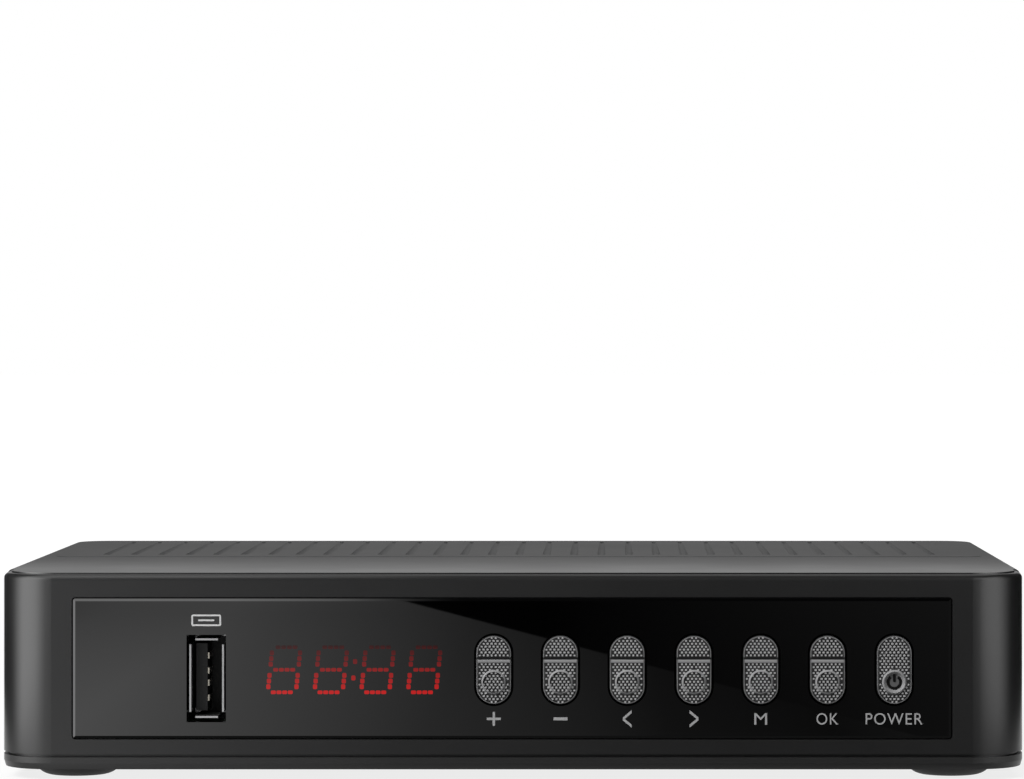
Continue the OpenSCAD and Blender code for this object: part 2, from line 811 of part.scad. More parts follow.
// Rubber foot with a bulged side, turned about its own axis
module foot(p) {
    r = foot_d / 2;
    sole_r = sole_d / 2;
    slope = atan2(foot_h, r - sole_r);
    side = norm([foot_h, r - sole_r]);
    bulge_r = (side * side / 4 + foot_bulge * foot_bulge) / (2 * foot_bulge);
    color("#1b1b1b") from_face() translate([p[0], p[1], 0]) rotate_extrude() intersection() {
        square([r, foot_h]);
        union() {
            polygon([[0, 0], [sole_r, 0], [r, foot_h], [0, foot_h]]);
            translate([(r + sole_r) / 2, foot_h / 2]) rotate(slope - 90)
                translate([foot_bulge - bulge_r, 0]) circle(bulge_r);
        }
    }
}

module blank_profile(r, h, e) {
    square([r, h - e]);
    square([r - e, h]);
    translate([r - e, h - e]) circle(e);
}

// Stadium-shaped blank that rises along z, with a rounded front edge
module key_blank(w, l, h, e) {
    run = l - w;
    for (end = [0, 180])
        rotate([0, 0, end]) translate([0, run / 2, 0]) rotate_extrude(angle = 180) blank_profile(w / 2, h, e);
    rotate([90, 0, 0]) linear_extrude(run, center = true) {
        blank_profile(w / 2, h, e);
        mirror([1, 0]) blank_profile(w / 2, h, e);
    }
}

module key(i) {
    rim_s = front_t + key_play;
    cap_h = rim_s + key_face;
    last = i == key_count - 1;
    color("#77777a") from_face() translate([key_x[i], 0, z_key]) {
        difference() {
            translate([0, rim_s, 0]) rotate([90, 0, 0]) key_blank(key_w, key_l, cap_h, key_edge_r);
            if (!last)
                translate([0, groove_d / 2 - key_face - cut / 2, groove_rise])
                    cube([key_w + cut, groove_d + cut, groove_h], center = true);
            if (last)
                translate([0, mark_h - key_face, -mark_drop]) rotate([90, 0, 0])
                    cylinder(d = mark_d, h = mark_h + cut);
        }
        if (!last)
            translate([0, -key_face, -mark_drop]) rotate([90, 0, 0]) cylinder(d = mark_d, h = mark_h);
        panel_shape(rim_s, key_lip_t) slot_shape(key_rim_w, key_rim_l);
        translate([0, rim_s + key_lip_t, 0]) rotate([-90, 0, 0]) cylinder(d = key_stem_d, h = key_stem_l);
    }
}

module plunger(i) {
    color("#2a2a2a") from_face() translate([key_x[i], s_plunger, z_key]) rotate([-90, 0, 0])
        cylinder(d = plunger_d, h = plunger_rise + plunger_in);
}

module key_switches() {
    hole_d = plunger_d + 2 * plunger_gap;
    hole_depth = plunger_in + key_travel + plunger_spare;
    color("#3c3c3e") from_face() for (x = key_x) translate([x, s_switch, z_key]) difference() {
        panel_shape(0, switch_h) rounded_rect(switch_w, switch_w, switch_r);
        translate([0, -cut, 0]) rotate([-90, 0, 0]) cylinder(d = hole_d, h = hole_depth + cut);
    }
}

module front_board() {
    notch_w = data_w + 2 * data_notch_gap;
    color("#2f5d3a") from_face() difference() {
        translate([-front_board_half, s_front_board, z_front_board])
            cube([2 * front_board_half, board_t, front_board_h]);
        translate([data_x - notch_w / 2, s_front_board - cut, z_front_board - cut])
            cube([notch_w, board_t + 2 * cut, z_data + data_l / 2 + data_notch_gap - z_front_board + cut]);
        for (p = front_screws)
            translate([p[0], s_front_board - cut, p[1]]) rotate([-90, 0, 0])
                cylinder(d = screw_hole_d, h = board_t + 2 * cut);
    }
}

// One bar of a digit, lying along x
module segment_bar(l) {
    h = segment_w / 2;
    polygon([[-l / 2, 0], [h - l / 2, h], [l / 2 - h, h], [l / 2, 0], [l / 2 - h, -h], [h - l / 2, -h]]);
}

// The seven bars of one digit about its middle
module digit_bars() {
    x = (digit_w - segment_w) / 2;
    z = (digit_h - segment_w) / 2;
    for (level = [-1, 0, 1]) translate([0, level * z]) segment_bar(2 * (x - segment_gap));
    for (side = [-1, 1], half = [-1, 1])
        translate([side * x, half * z / 2]) rotate(90) segment_bar(z - 2 * segment_gap);
}

// Four slanted digits and a colon
module display_figures() {
    shear = tan(digit_slant);
    multmatrix([[1, shear, 0, 0], [0, 1, 0, 0], [0, 0, 1, 0], [0, 0, 0, 1]]) {
        for (i = [0:3]) translate([(i - 1.5) * digit_pitch, 0]) digit_bars();
        for (half = [-1, 1]) translate([0, half * digit_h / 6]) square(segment_w, center = true);
    }
}

module display_housing() {
    color("#111112") from_face() translate([display_x, 0, z_key]) difference() {
        panel_shape(s_display, s_front_board - s_display) square([display_w, display_h], center = true);
        panel_shape(s_display - cut, segment_t + cut) display_figures();
    }
}

module display_segments() {
    color("#c8201c") from_face() translate([display_x, 0, z_key])
        panel_shape(s_display, segment_t) display_figures();
}

// Receiver for the remote control, with its round lens towards the window
module remote_eye() {
    color("#1a1a1e") from_face() translate([eye_x, 0, z_eye]) {
        panel_shape(s_front_board - eye_t, eye_t) square([eye_w, eye_h], center = true);
        translate([0, s_front_board - eye_t, 0]) rotate([90, 0, 0]) intersection() {
            sphere(d = eye_lens_d);
            cylinder(d = eye_lens_d, h = eye_lens_d);
        }
    }
}

module ribbon_cable() {
    color("#9a9aa0") from_face() translate([ribbon_x - ribbon_w / 2, s_plug, z_plug - ribbon_r]) {
        rotate([90, 0, 90]) rotate_extrude(angle = 90)
            translate([ribbon_r - ribbon_t / 2, 0]) square([ribbon_t, ribbon_w]);
        translate([0, ribbon_r - ribbon_t / 2, -ribbon_straight]) cube([ribbon_w, ribbon_t, ribbon_straight]);
    }
}

module ribbon_plug_front() {
    color("#e6e2d6") from_face() translate([ribbon_x - plug_w / 2, s_front_board_back, z_plug - plug_t / 2])
        cube([plug_w, plug_h, plug_t]);
}

module ribbon_plug_main() {
    color("#e6e2d6") from_face()
        translate([ribbon_x - plug_w / 2, s_plug + ribbon_r - plug_t / 2, z_board_top])
            cube([plug_w, plug_t, plug_h]);
}

// Folded metal shell, whose four lips stand apart at the corners of the mouth
module data_shell() {
    relief_end = data_sink + data_relief_d;
    color("#c9c9cc") from_face() translate([data_x, 0, z_data]) difference() {
        panel_shape(data_sink, data_d) difference() {
            square([data_w, data_l], center = true);
            square([data_w - 2 * data_metal, data_l - 2 * data_metal], center = true);
        }
        for (side = [-1, 1], end = [-1, 1]) translate([side * data_w / 2, 0, end * data_l / 2])
            cube([2 * data_relief, 2 * relief_end, 2 * data_relief], center = true);
    }
}

// Places the tongue's front corner on its left side, level with the socket's middle
module at_data_tongue() {
    left = data_x - data_w / 2 + data_metal;
    translate([left + data_tongue_off, data_sink + data_tongue_in, z_data]) children();
}

// Block that fills the back of the shell, with its tongue, its back wall and its foot on the board
module data_insulator() {
    back = data_sink + data_d;
    length = data_d - data_block_t - data_tongue_in;
    height = data_l - 2 * data_metal - 2 * data_tongue_gap;
    color("#151515") from_face() {
        at_data_tongue() translate([0, 0, -height / 2]) cube([data_tongue_t, length, height]);
        translate([data_x, 0, z_data]) panel_shape(back - data_block_t, data_block_t)
            square([data_w - 2 * data_metal, data_l - 2 * data_metal], center = true);
        translate([data_x - data_w / 2, back, z_board_top]) cube([data_w, data_back_t, data_seat + data_l]);
        translate([data_x - data_w / 2, s_tab + data_seat, z_board_top])
            cube([data_w, back + data_back_t - s_tab - data_seat, data_seat]);
    }
}

module data_contacts() {
    color("#d0b060") from_face() at_data_tongue() for (z = data_contact_z)
        translate([data_tongue_t, data_contact_in, z - data_contact_w / 2])
            cube([data_contact_t, data_contact_l, data_contact_w]);
}

module main_board() {
    tab_half = data_w / 2 + data_tab_edge;
    color("#2f5d3a") from_face() difference() {
        union() {
            translate([-board_half, board_front, z_board])
                cube([2 * board_half, s_board_back - board_front, board_t]);
            translate([data_x - tab_half, s_tab, z_board]) cube([2 * tab_half, board_front - s_tab, board_t]);
        }
        for (p = board_screws_at)
            translate([p[0], p[1], z_board - cut]) cylinder(d = screw_hole_d, h = board_t + 2 * cut);
    }
}

module on_board(p) {
    from_face() translate([p[0], p[1], z_board_top]) children();
}

module processor() {
    color("#1d1d20") on_board(chip_at) linear_extrude(chip_h) rounded_rect(chip_w, chip_w, chip_r);
}

module cooler() {
    fin_pitch = (cooler_w - cooler_fin_t) / (cooler_fins - 1);
    color("#8b8d92") on_board(chip_at) translate([0, 0, chip_h]) {
        translate([-cooler_w / 2, -cooler_w / 2, 0]) cube([cooler_w, cooler_w, cooler_base]);
        for (i = [0:cooler_fins - 1])
            translate([i * fin_pitch - cooler_w / 2, -cooler_w / 2, 0])
                cube([cooler_fin_t, cooler_w, cooler_h]);
    }
}

module memory_chip() {
    color("#1d1d20") on_board(memory_at)
        linear_extrude(memory_size[2]) rounded_rect(memory_size[0], memory_size[1], chip_r);
}

module crystal() {
    color("#b9babd") on_board(crystal_at)
        linear_extrude(crystal_size[2]) slot_shape(crystal_size[0], crystal_size[1]);
}

module capacitors() {
    rows = [3, 2];
    color("#26344a") for (row = [0, 1], i = [0:rows[row] - 1])
        on_board([power_x - i * cap_pitch, supply_s - row * cap_pitch]) cylinder(d = cap_d, h = cap_h);
}

module coils() {
    color("#4a4642") for (i = [0:1])
        on_board([power_x - (2 - i) * cap_pitch, supply_s - (1 + i) * cap_pitch])
            linear_extrude(coil_h) rounded_rect(coil_w, coil_w, coil_r);
}

module tuner_can() {
    color("#b4b6ba") from_face()
        translate([tuner_x - tuner_w / 2, s_tuner_back - tuner_d, z_board_top]) difference() {
            cube([tuner_w, tuner_d, tuner_h]);
            translate([can_metal, can_metal, -cut])
                cube([tuner_w - 2 * can_metal, tuner_d - 2 * can_metal, tuner_h - can_metal + cut]);
        }
}

// Places a socket part on the tuner's back face, with its own z pointing out of the mouth
module at_aerial(i) {
    from_face() translate([rf_x[i], s_tuner_back, z_rf]) rotate([-90, 0, 0]) children();
}

module tube(outer_d, inner_d, l) {
    difference() {
        cylinder(d = outer_d, h = l);
        translate([0, 0, -cut]) cylinder(d = inner_d, h = l + 2 * cut);
    }
}

module aerial_in_barrel() {
    color("#c4c6ca") at_aerial(0) tube(rf_in_bore + 2 * rf_wall, rf_in_bore, s_barrel - s_tuner_back);
}

module aerial_in_contact() {
    l = s_barrel - s_tuner_back - rf_disc_t - rf_contact_sink;
    color("#d0b060") at_aerial(0) translate([0, 0, rf_disc_t]) difference() {
        cylinder(d = rf_contact_d, h = l);
        translate([0, 0, rf_contact_floor]) cylinder(d = rf_contact_bore, h = l);
    }
}

module aerial_out_barrel() {
    color("#c4c6ca") at_aerial(1) {
        tube(rf_out_d, rf_out_d - 2 * rf_wall, s_barrel - s_tuner_back);
        tube(rf_shoulder_d, rf_out_d - rf_wall, s_shoulder - s_tuner_back);
    }
}

module aerial_out_pin() {
    color("#d0b060") at_aerial(1) translate([0, 0, rf_disc_t])
        cylinder(d = rf_pin_d, h = s_barrel - s_tuner_back - rf_disc_t - rf_contact_sink);
}

module aerial_discs() {
    color("#e8e4da") {
        at_aerial(0) cylinder(d = rf_in_bore - 2 * fit_gap, h = rf_disc_t);
        at_aerial(1) cylinder(d = rf_out_d - 2 * rf_wall - 2 * fit_gap, h = rf_disc_t);
    }
}

// Picture socket's outline with its two lower corners cut back
module picture_shape(grow) {
    w = picture_w / 2 + grow;
    top = picture_h + picture_metal + grow;
    low = picture_metal - grow;
    step = picture_step;
    polygon([[-w, top], [w, top], [w, low + step], [w - step, low], [step - w, low], [-w, low + step]]);
}

module picture_shell() {
    color("#c4c6ca") from_face() translate([picture_x, 0, z_board_top])
        panel_shape(s_picture, picture_d) difference() {
            picture_shape(picture_metal);
            picture_shape(0);
        }
}

module picture_tongue() {
    width = picture_w - 2 * picture_tongue_gap;
    color("#151515") from_face() translate([picture_x, 0, z_board_top]) {
        panel_shape(s_picture, picture_back_t) picture_shape(0);
        translate([-width / 2, s_picture + picture_back_t, picture_metal + picture_h / 2])
            cube([width, picture_d - picture_back_t - picture_tongue_in, picture_tongue_t]);
    }
}

module sound_socket() {
    z = av_body / 2;
    collar = s_shoulder - s_panel_in + fit_gap;
    color("#161618") from_face() translate([av_x, s_panel_in - fit_gap, z_board_top + z]) difference() {
        union() {
            translate([-z, -av_d, -z]) cube([av_body, av_d, av_body]);
            rotate([-90, 0, 0]) cylinder(d = av_collar_d, h = collar);
        }
        translate([0, av_floor - av_d, 0]) rotate([-90, 0, 0]) cylinder(d = av_bore, h = av_d + collar);
    }
}

module power_socket() {
    color("#161618") from_face() translate([power_x, s_panel_in - fit_gap, z_board_top]) difference() {
        translate([-dc_w / 2, -dc_d, 0]) cube([dc_w, dc_d, dc_h]);
        translate([0, dc_back_t - dc_d, dc_h / 2]) rotate([-90, 0, 0]) cylinder(d = dc_bore, h = dc_d);
    }
}

module power_pin() {
    root = s_panel_in - fit_gap - dc_d + dc_back_t;
    color("#c4c6ca") from_face() translate([power_x, root, z_board_top + dc_h / 2]) rotate([-90, 0, 0])
        cylinder(d = dc_pin_d, h = dc_d - dc_back_t - dc_pin_in);
}

module panel_hole(x, z, d) {
    translate([x, s_panel_in - cut, z]) rotate([-90, 0, 0]) cylinder(d = d, h = panel_t + 2 * cut);
}

module rear_panel() {
    color("#2a2a2c") from_face() difference() {
        translate([-panel_half, s_panel_in, z_seam])
            cube([2 * panel_half, panel_t, z_ledge - fit_gap - z_seam]);
        panel_hole(rf_x[0], z_rf, rf_in_bore + 2 * rf_wall + 2 * socket_gap);
        panel_hole(rf_x[1], z_rf, rf_shoulder_d + 2 * socket_gap);
        translate([picture_x, 0, z_board_top]) panel_shape(s_panel_in - cut, panel_t + 2 * cut)
            picture_shape(picture_metal + socket_gap);
        panel_hole(av_x, z_board_top + av_body / 2, av_collar_d + 2 * socket_gap);
        panel_hole(power_x, z_board_top + dc_h / 2, dc_bore + 4 * socket_gap);
    }
}

// Pan-head screw that points up, with its shank starting at the origin
module screw(l) {
    translate([0, 0, -head_h]) cylinder(d = head_d, h = head_h);
    cylinder(d = screw_d, h = l);
}

module case_screws() {
    color("#55565a") from_face() for (p = case_screws_at)
        translate([p[0], p[1], z_head]) screw(z_pillar - z_head + case_screw_reach);
}

module main_board_screws() {
    color("#9b9ca0") from_face() for (p = board_screws_at)
        translate([p[0], p[1], z_board_top]) rotate([180, 0, 0]) screw(board_t + board_screw_reach);
}

module front_board_screws() {
    color("#9b9ca0") from_face() for (p = front_screws)
        translate([p[0], s_front_board_back, p[1]]) rotate([90, 0, 0]) screw(board_t + front_screw_reach);
}

base_tray();
top_cover();
front_bezel();
rear_panel();
front_window();
foot(feet[0]);  // foot_front_left
foot(feet[1]);  // foot_rear_left
foot(feet[2]);  // foot_front_right
foot(feet[3]);  // foot_rear_right
for (i = [0:key_count - 1]) {
    key(i);
    plunger(i);
}
key_switches();
front_board();
display_housing();
display_segments();
remote_eye();
ribbon_cable();
ribbon_plug_front();
ribbon_plug_main();
data_shell();
data_insulator();
data_contacts();
main_board();
processor();
cooler();
memory_chip();
crystal();
capacitors();
coils();
tuner_can();
aerial_in_barrel();
aerial_in_contact();
aerial_out_barrel();
aerial_out_pin();
aerial_discs();
picture_shell();
picture_tongue();
sound_socket();
power_socket();
power_pin();
case_screws();
main_board_screws();
front_board_screws();
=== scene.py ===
import json
import math

import bpy
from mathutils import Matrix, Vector


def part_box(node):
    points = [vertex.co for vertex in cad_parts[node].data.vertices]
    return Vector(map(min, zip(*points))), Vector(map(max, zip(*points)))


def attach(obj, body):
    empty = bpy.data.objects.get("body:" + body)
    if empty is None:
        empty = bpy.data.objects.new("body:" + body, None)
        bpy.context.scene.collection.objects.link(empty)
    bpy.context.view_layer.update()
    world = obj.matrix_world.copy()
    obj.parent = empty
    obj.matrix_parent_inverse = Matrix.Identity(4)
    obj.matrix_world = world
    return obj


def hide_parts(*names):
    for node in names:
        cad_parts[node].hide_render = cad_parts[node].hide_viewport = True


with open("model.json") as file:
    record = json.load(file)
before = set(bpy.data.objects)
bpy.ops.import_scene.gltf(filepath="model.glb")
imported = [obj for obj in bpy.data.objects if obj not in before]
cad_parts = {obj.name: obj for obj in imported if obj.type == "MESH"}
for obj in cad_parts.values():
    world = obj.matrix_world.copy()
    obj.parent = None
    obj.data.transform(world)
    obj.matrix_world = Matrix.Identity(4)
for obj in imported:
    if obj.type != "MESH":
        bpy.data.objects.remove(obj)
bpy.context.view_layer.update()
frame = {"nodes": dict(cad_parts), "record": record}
nodes = frame["nodes"]
mm = 0.001
tiny = 0.001 * mm
mergeGap = 0.0001 * mm
seatDepth = 0.01 * mm  # how far a thin piece reaches into what it lies on
faceOn = 0.9  # share of a normal along an axis from which a face counts as facing that way
keyNames = ["plus", "minus", "left", "right", "menu", "ok", "power"]
print("frame loaded with", len(nodes), "nodes")


# Small helpers for working as by hand

def dropSelection():
    if bpy.context.mode != "OBJECT":
        bpy.ops.object.mode_set(mode="OBJECT")
    bpy.ops.object.select_all(action="DESELECT")


def takeOnly(obj):
    dropSelection()
    obj.select_set(True)
    bpy.context.view_layer.objects.active = obj


def newest(name):
    obj = bpy.context.view_layer.objects.active
    obj.name = name
    obj.data.name = name
    return obj


def editFaces(obj, test):
    takeOnly(obj)
    bpy.context.tool_settings.mesh_select_mode = (False, False, True)
    for item in list(obj.data.vertices) + list(obj.data.edges):
        item.select = False
    for face in obj.data.polygons:
        face.select = test(face)
    bpy.ops.object.mode_set(mode="EDIT")


def editEdges(obj, test):
    takeOnly(obj)
    bpy.context.tool_settings.mesh_select_mode = (False, True, False)
    points = obj.data.vertices
    for item in list(points) + list(obj.data.polygons):
        item.select = False
    for edge in obj.data.edges:
        edge.select = test(points[edge.vertices[0]].co, points[edge.vertices[1]].co)
    bpy.ops.object.mode_set(mode="EDIT")


def editPoints(obj, test):
    takeOnly(obj)
    bpy.context.tool_settings.mesh_select_mode = (True, False, False)
    for item in list(obj.data.edges) + list(obj.data.polygons):
        item.select = False
    for point in obj.data.vertices:
        point.select = test(point.co)
    bpy.ops.object.mode_set(mode="EDIT")


def leaveEdit():
    bpy.ops.object.mode_set(mode="OBJECT")


def everyFace(face):
    return True


def facesFront(face):
    return face.normal.y < -faceOn


def facesFrontOrBack(face):
    return abs(face.normal.y) > faceOn


def facesUp(face):
    return face.normal.z > faceOn


def acrossDepth(depth):
    # Test for the edges that run from front to back of a piece this deep
    return lambda a, b: abs(a.y - b.y) > depth / 2


def roundEdges(obj, test, offset, steps):
    editEdges(obj, test)
    bpy.ops.mesh.bevel(offset=offset, segments=steps)
    leaveEdit()


def resizeChosen(factors):
    bpy.ops.transform.resize(value=factors)
    leaveEdit()


def openMiddle(obj, wall):
    # Cuts through from front to back and leaves a frame this wide
    editFaces(obj, facesFrontOrBack)
    bpy.ops.mesh.inset(thickness=wall)
    bpy.ops.mesh.bridge_edge_loops()
    leaveEdit()


def smoothBelow(obj, degrees):
    takeOnly(obj)
    bpy.ops.object.shade_smooth_by_angle(angle=math.radians(degrees))


def useModifier(obj, kind, **settings):
    takeOnly(obj)
    modifier = obj.modifiers.new(kind.lower(), kind)
    for key, value in settings.items():
        setattr(modifier, key, value)
    bpy.ops.object.modifier_apply(modifier=modifier.name)


def repeatBy(obj, count, step):
    useModifier(obj, "ARRAY", count=count, use_relative_offset=False, use_constant_offset=True,
                constant_offset_displace=step)


def copyTo(obj, place):
    twin = obj.copy()
    twin.data = obj.data.copy()
    bpy.context.scene.collection.objects.link(twin)
    twin.location = place
    return twin


def joinAll(pieces, name):
    dropSelection()
    for piece in pieces:
        piece.select_set(True)
    bpy.context.view_layer.objects.active = pieces[0]
    bpy.ops.object.join()
    return newest(name)


def applyPlace(obj):
    takeOnly(obj)
    bpy.ops.object.transform_apply(location=True, rotation=True, scale=True)


def addBlock(name, size, place=(0, 0, 0), turn=0):
    dropSelection()
    bpy.ops.mesh.primitive_cube_add(size=1, location=place, rotation=(0, 0, math.radians(turn)))
    block = newest(name)
    block.scale = size
    applyPlace(block)
    return block


def addSheet(name, size, place, turn=(0, 0, 0)):
    dropSelection()
    angles = [math.radians(angle) for angle in turn]
    bpy.ops.mesh.primitive_plane_add(size=1, location=place, rotation=angles)
    sheet = newest(name)
    sheet.scale = (*size, 1)
    applyPlace(sheet)
    return sheet


def addRound(name, sides, radius, depth, place=(0, 0, 0), tip=0):
    dropSelection()
    bpy.ops.mesh.primitive_cylinder_add(vertices=sides, radius=radius, depth=depth, location=place,
                                        rotation=(math.radians(tip), 0, 0))
    piece = newest(name)
    applyPlace(piece)
    return piece


def cleanMesh(obj):
    editFaces(obj, everyFace)
    bpy.ops.mesh.remove_doubles(threshold=mergeGap)
    bpy.ops.mesh.normals_make_consistent(inside=False)
    leaveEdit()


def seat(obj, body, material):
    applyPlace(obj)
    obj.data.materials.clear()
    obj.data.materials.append(material)
    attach(obj, body)


def middle(node):
    low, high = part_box(node)
    return (low + high) / 2


def evenPlaces(count, step):
    # Places along a line, evenly spaced about its middle
    return [(i - (count - 1) / 2) * step for i in range(count)]


# Shared effects, each a node group that gives values over the surface

def newGroup(name, inputs, outputs):
    group = bpy.data.node_groups.new(name, "ShaderNodeTree")
    for label, value in inputs.items():
        socket = group.interface.new_socket(label, in_out="INPUT", socket_type="NodeSocketFloat")
        socket.default_value = value
    for label in outputs:
        group.interface.new_socket(label, in_out="OUTPUT", socket_type="NodeSocketFloat")
    ends = group.nodes.new("NodeGroupInput"), group.nodes.new("NodeGroupOutput")
    return group, *ends


def surfacePlace(tree):
    return tree.nodes.new("ShaderNodeTexCoord").outputs["Object"]


def splitParts(tree, vector):
    node = tree.nodes.new("ShaderNodeSeparateXYZ")
    tree.links.new(vector, node.inputs[0])
    return node.outputs


def addMath(tree, operation, first, second=None):
    node = tree.nodes.new("ShaderNodeMath")
    node.operation = operation
    for socket, value in zip(node.inputs, (first, second)):
        if isinstance(value, (int, float)):
            socket.default_value = value
        elif value is not None:
            tree.links.new(value, socket)
    return node.outputs[0]


def roundZero(tree, value):
    # A value from nought to one, shifted to lie evenly round zero
    return addMath(tree, "SUBTRACT", value, 0.5)


def mapTo(tree, value, fromLow, fromHigh, toLow, toHigh, smooth=False):
    node = tree.nodes.new("ShaderNodeMapRange")
    if smooth:
        node.interpolation_type = "SMOOTHSTEP"
    ends = {"From Min": fromLow, "From Max": fromHigh, "To Min": toLow, "To Max": toHigh}
    for label, number in ends.items():
        node.inputs[label].default_value = number
    tree.links.new(value, node.inputs["Value"])
    return node.outputs[0]


def addNoise(tree, vector, scale, detail=2.0, rough=0.5):
    node = tree.nodes.new("ShaderNodeTexNoise")
    tree.links.new(vector, node.inputs["Vector"])
    if isinstance(scale, (int, float)):
        node.inputs["Scale"].default_value = scale
    else:
        tree.links.new(scale, node.inputs["Scale"])
    node.inputs["Detail"].default_value = detail
    node.inputs["Roughness"].default_value = rough
    return node.outputs["Fac"]


# A noise pair is its detail and its roughness
mouldLook = {"grain": 6500.0, "patch": 45.0, "fineNoise": (3.0, 0.6), "patchNoise": (3.0, 0.55),
             "coarseScale": 0.31, "coarseHeight": 0.6, "tone": 0.25, "toneOfHandling": 0.5, "handling": 0.12,
             "bump": 0.35}
drawnLook = {"lines": 900.0, "stretch": 0.04, "stainScale": 140.0, "stainDetail": 3.0, "tone": 0.3,
             "wander": 0.3, "bump": 0.3}


def makeMouldGrain():
    inputs = {"Grain": mouldLook["grain"], "Patch": mouldLook["patch"]}
    group, start, end = newGroup("mouldGrain", inputs, ["Height", "Tone", "Handling"])
    place = surfacePlace(group)
    fine = addNoise(group, place, start.outputs["Grain"], *mouldLook["fineNoise"])
    coarseScale = addMath(group, "MULTIPLY", start.outputs["Grain"], mouldLook["coarseScale"])
    coarse = addMath(group, "MULTIPLY", addNoise(group, place, coarseScale), mouldLook["coarseHeight"])
    patch = addNoise(group, place, start.outputs["Patch"], *mouldLook["patchNoise"])
    group.links.new(addMath(group, "ADD", fine, coarse), end.inputs["Height"])
    group.links.new(roundZero(group, fine), end.inputs["Tone"])
    group.links.new(roundZero(group, patch), end.inputs["Handling"])
    return group


def makeDrawnMetal():
    inputs = {"Lines": drawnLook["lines"], "Stretch": drawnLook["stretch"]}
    group, start, end = newGroup("drawnMetal", inputs, ["Height", "Tone", "Stain"])
    place = surfacePlace(group)
    parts = splitParts(group, place)
    longWay = addMath(group, "MULTIPLY", parts["Y"], start.outputs["Stretch"])
    drawn = group.nodes.new("ShaderNodeCombineXYZ")
    for label, source in (("X", parts["X"]), ("Y", longWay), ("Z", parts["Z"])):
        group.links.new(source, drawn.inputs[label])
    lines = addNoise(group, drawn.outputs[0], start.outputs["Lines"])
    stain = addNoise(group, place, drawnLook["stainScale"], drawnLook["stainDetail"])
    group.links.new(lines, end.inputs["Height"])
    group.links.new(roundZero(group, lines), end.inputs["Tone"])
    group.links.new(roundZero(group, stain), end.inputs["Stain"])
    return group


mouldGrain = makeMouldGrain()
drawnMetal = makeDrawnMetal()


# Materials

def newMaterial(name):
    material = bpy.data.materials.new(name)
    material.use_nodes = True
    tree = material.node_tree
    return material, tree, tree.nodes["Principled BSDF"]


def addGroup(tree, group, label, value):
    node = tree.nodes.new("ShaderNodeGroup")
    node.node_tree = group
    node.inputs[label].default_value = value
    return node.outputs


def shadeColour(tree, colour, shift, strength):
    # The written colour, made a little lighter or darker by a value round zero
    factor = addMath(tree, "ADD", addMath(tree, "MULTIPLY", shift, strength), 1.0)
    node = tree.nodes.new("ShaderNodeVectorMath")
    node.operation = "SCALE"
    node.inputs[0].default_value = colour
    tree.links.new(factor, node.inputs["Scale"])
    return node.outputs[0]


def addBump(tree, height, strength, distance, shader):
    bump = tree.nodes.new("ShaderNodeBump")
    bump.inputs["Strength"].default_value = strength
    bump.inputs["Distance"].default_value = distance
    tree.links.new(height, bump.inputs["Height"])
    tree.links.new(bump.outputs[0], shader.inputs["Normal"])


coarser = {"from": -54.0 * mm, "to": 0.0 * mm, "above": 33.0 * mm, "extra": 0.29}


def coarserBack(tree):
    # The cover's top is moulded smoother along its front edge than over the grooved field
    parts = splitParts(tree, surfacePlace(tree))
    back = mapTo(tree, parts["Y"], coarser["from"], coarser["to"], 0, coarser["extra"], True)
    onTop = addMath(tree, "GREATER_THAN", parts["Z"], coarser["above"])
    return addMath(tree, "MULTIPLY", back, onTop)


def mouldedPlastic(name, colour, rough, grain=mouldLook["grain"], depth=0.01 * mm, specular=0.5,
                   twoZones=False):
    material, tree, shader = newMaterial(name)
    grained = addGroup(tree, mouldGrain, "Grain", grain)
    handled = addMath(tree, "MULTIPLY", grained["Handling"], mouldLook["toneOfHandling"])
    both = addMath(tree, "ADD", grained["Tone"], handled)
    tree.links.new(shadeColour(tree, colour, both, mouldLook["tone"]), shader.inputs["Base Color"])
    wander = addMath(tree, "MULTIPLY", grained["Handling"], mouldLook["handling"])
    roughness = addMath(tree, "ADD", wander, rough)
    if twoZones:
        roughness = addMath(tree, "ADD", roughness, coarserBack(tree))
    tree.links.new(roughness, shader.inputs["Roughness"])
    shader.inputs["Specular IOR Level"].default_value = specular
    addBump(tree, grained["Height"], mouldLook["bump"], depth, shader)
    return material


def platedMetal(name, colour, rough, lines=drawnLook["lines"], depth=0.006 * mm):
    material, tree, shader = newMaterial(name)
    drawn = addGroup(tree, drawnMetal, "Lines", lines)
    both = addMath(tree, "ADD", drawn["Tone"], drawn["Stain"])
    tree.links.new(shadeColour(tree, colour, both, drawnLook["tone"]), shader.inputs["Base Color"])
    wander = addMath(tree, "MULTIPLY", drawn["Stain"], drawnLook["wander"])
    tree.links.new(addMath(tree, "ADD", wander, rough), shader.inputs["Roughness"])
    shader.inputs["Metallic"].default_value = 1.0
    addBump(tree, drawn["Height"], drawnLook["bump"], depth, shader)
    return material


# Painted reflection: where the window's bevel is left shiny and where its shine is painted dull
bevelShine = {"flat": 0.97, "sloped": 0.90, "fadeFrom": -32.0 * mm, "fadeTo": -8.0 * mm, "under": -0.2,
              "bright": 0.5, "dull": 0.04}


def paintedBevelReflection(tree):
    # Painted reflection: the bevel's shine is set by place and facing, kept bright at its left and upper left
    # and painted dull below and towards the right
    facing = splitParts(tree, tree.nodes.new("ShaderNodeNewGeometry").outputs["Normal"])
    place = splitParts(tree, surfacePlace(tree))
    forward = addMath(tree, "ABSOLUTE", facing["Y"])
    sloped = mapTo(tree, forward, bevelShine["flat"], bevelShine["sloped"], 0, 1)
    right = mapTo(tree, place["X"], bevelShine["fadeFrom"], bevelShine["fadeTo"], 0, 1, True)
    under = addMath(tree, "LESS_THAN", facing["Z"], bevelShine["under"])
    dull = addMath(tree, "MULTIPLY", sloped, addMath(tree, "MAXIMUM", right, under))
    return mapTo(tree, dull, 0, 1, bevelShine["bright"], bevelShine["dull"])


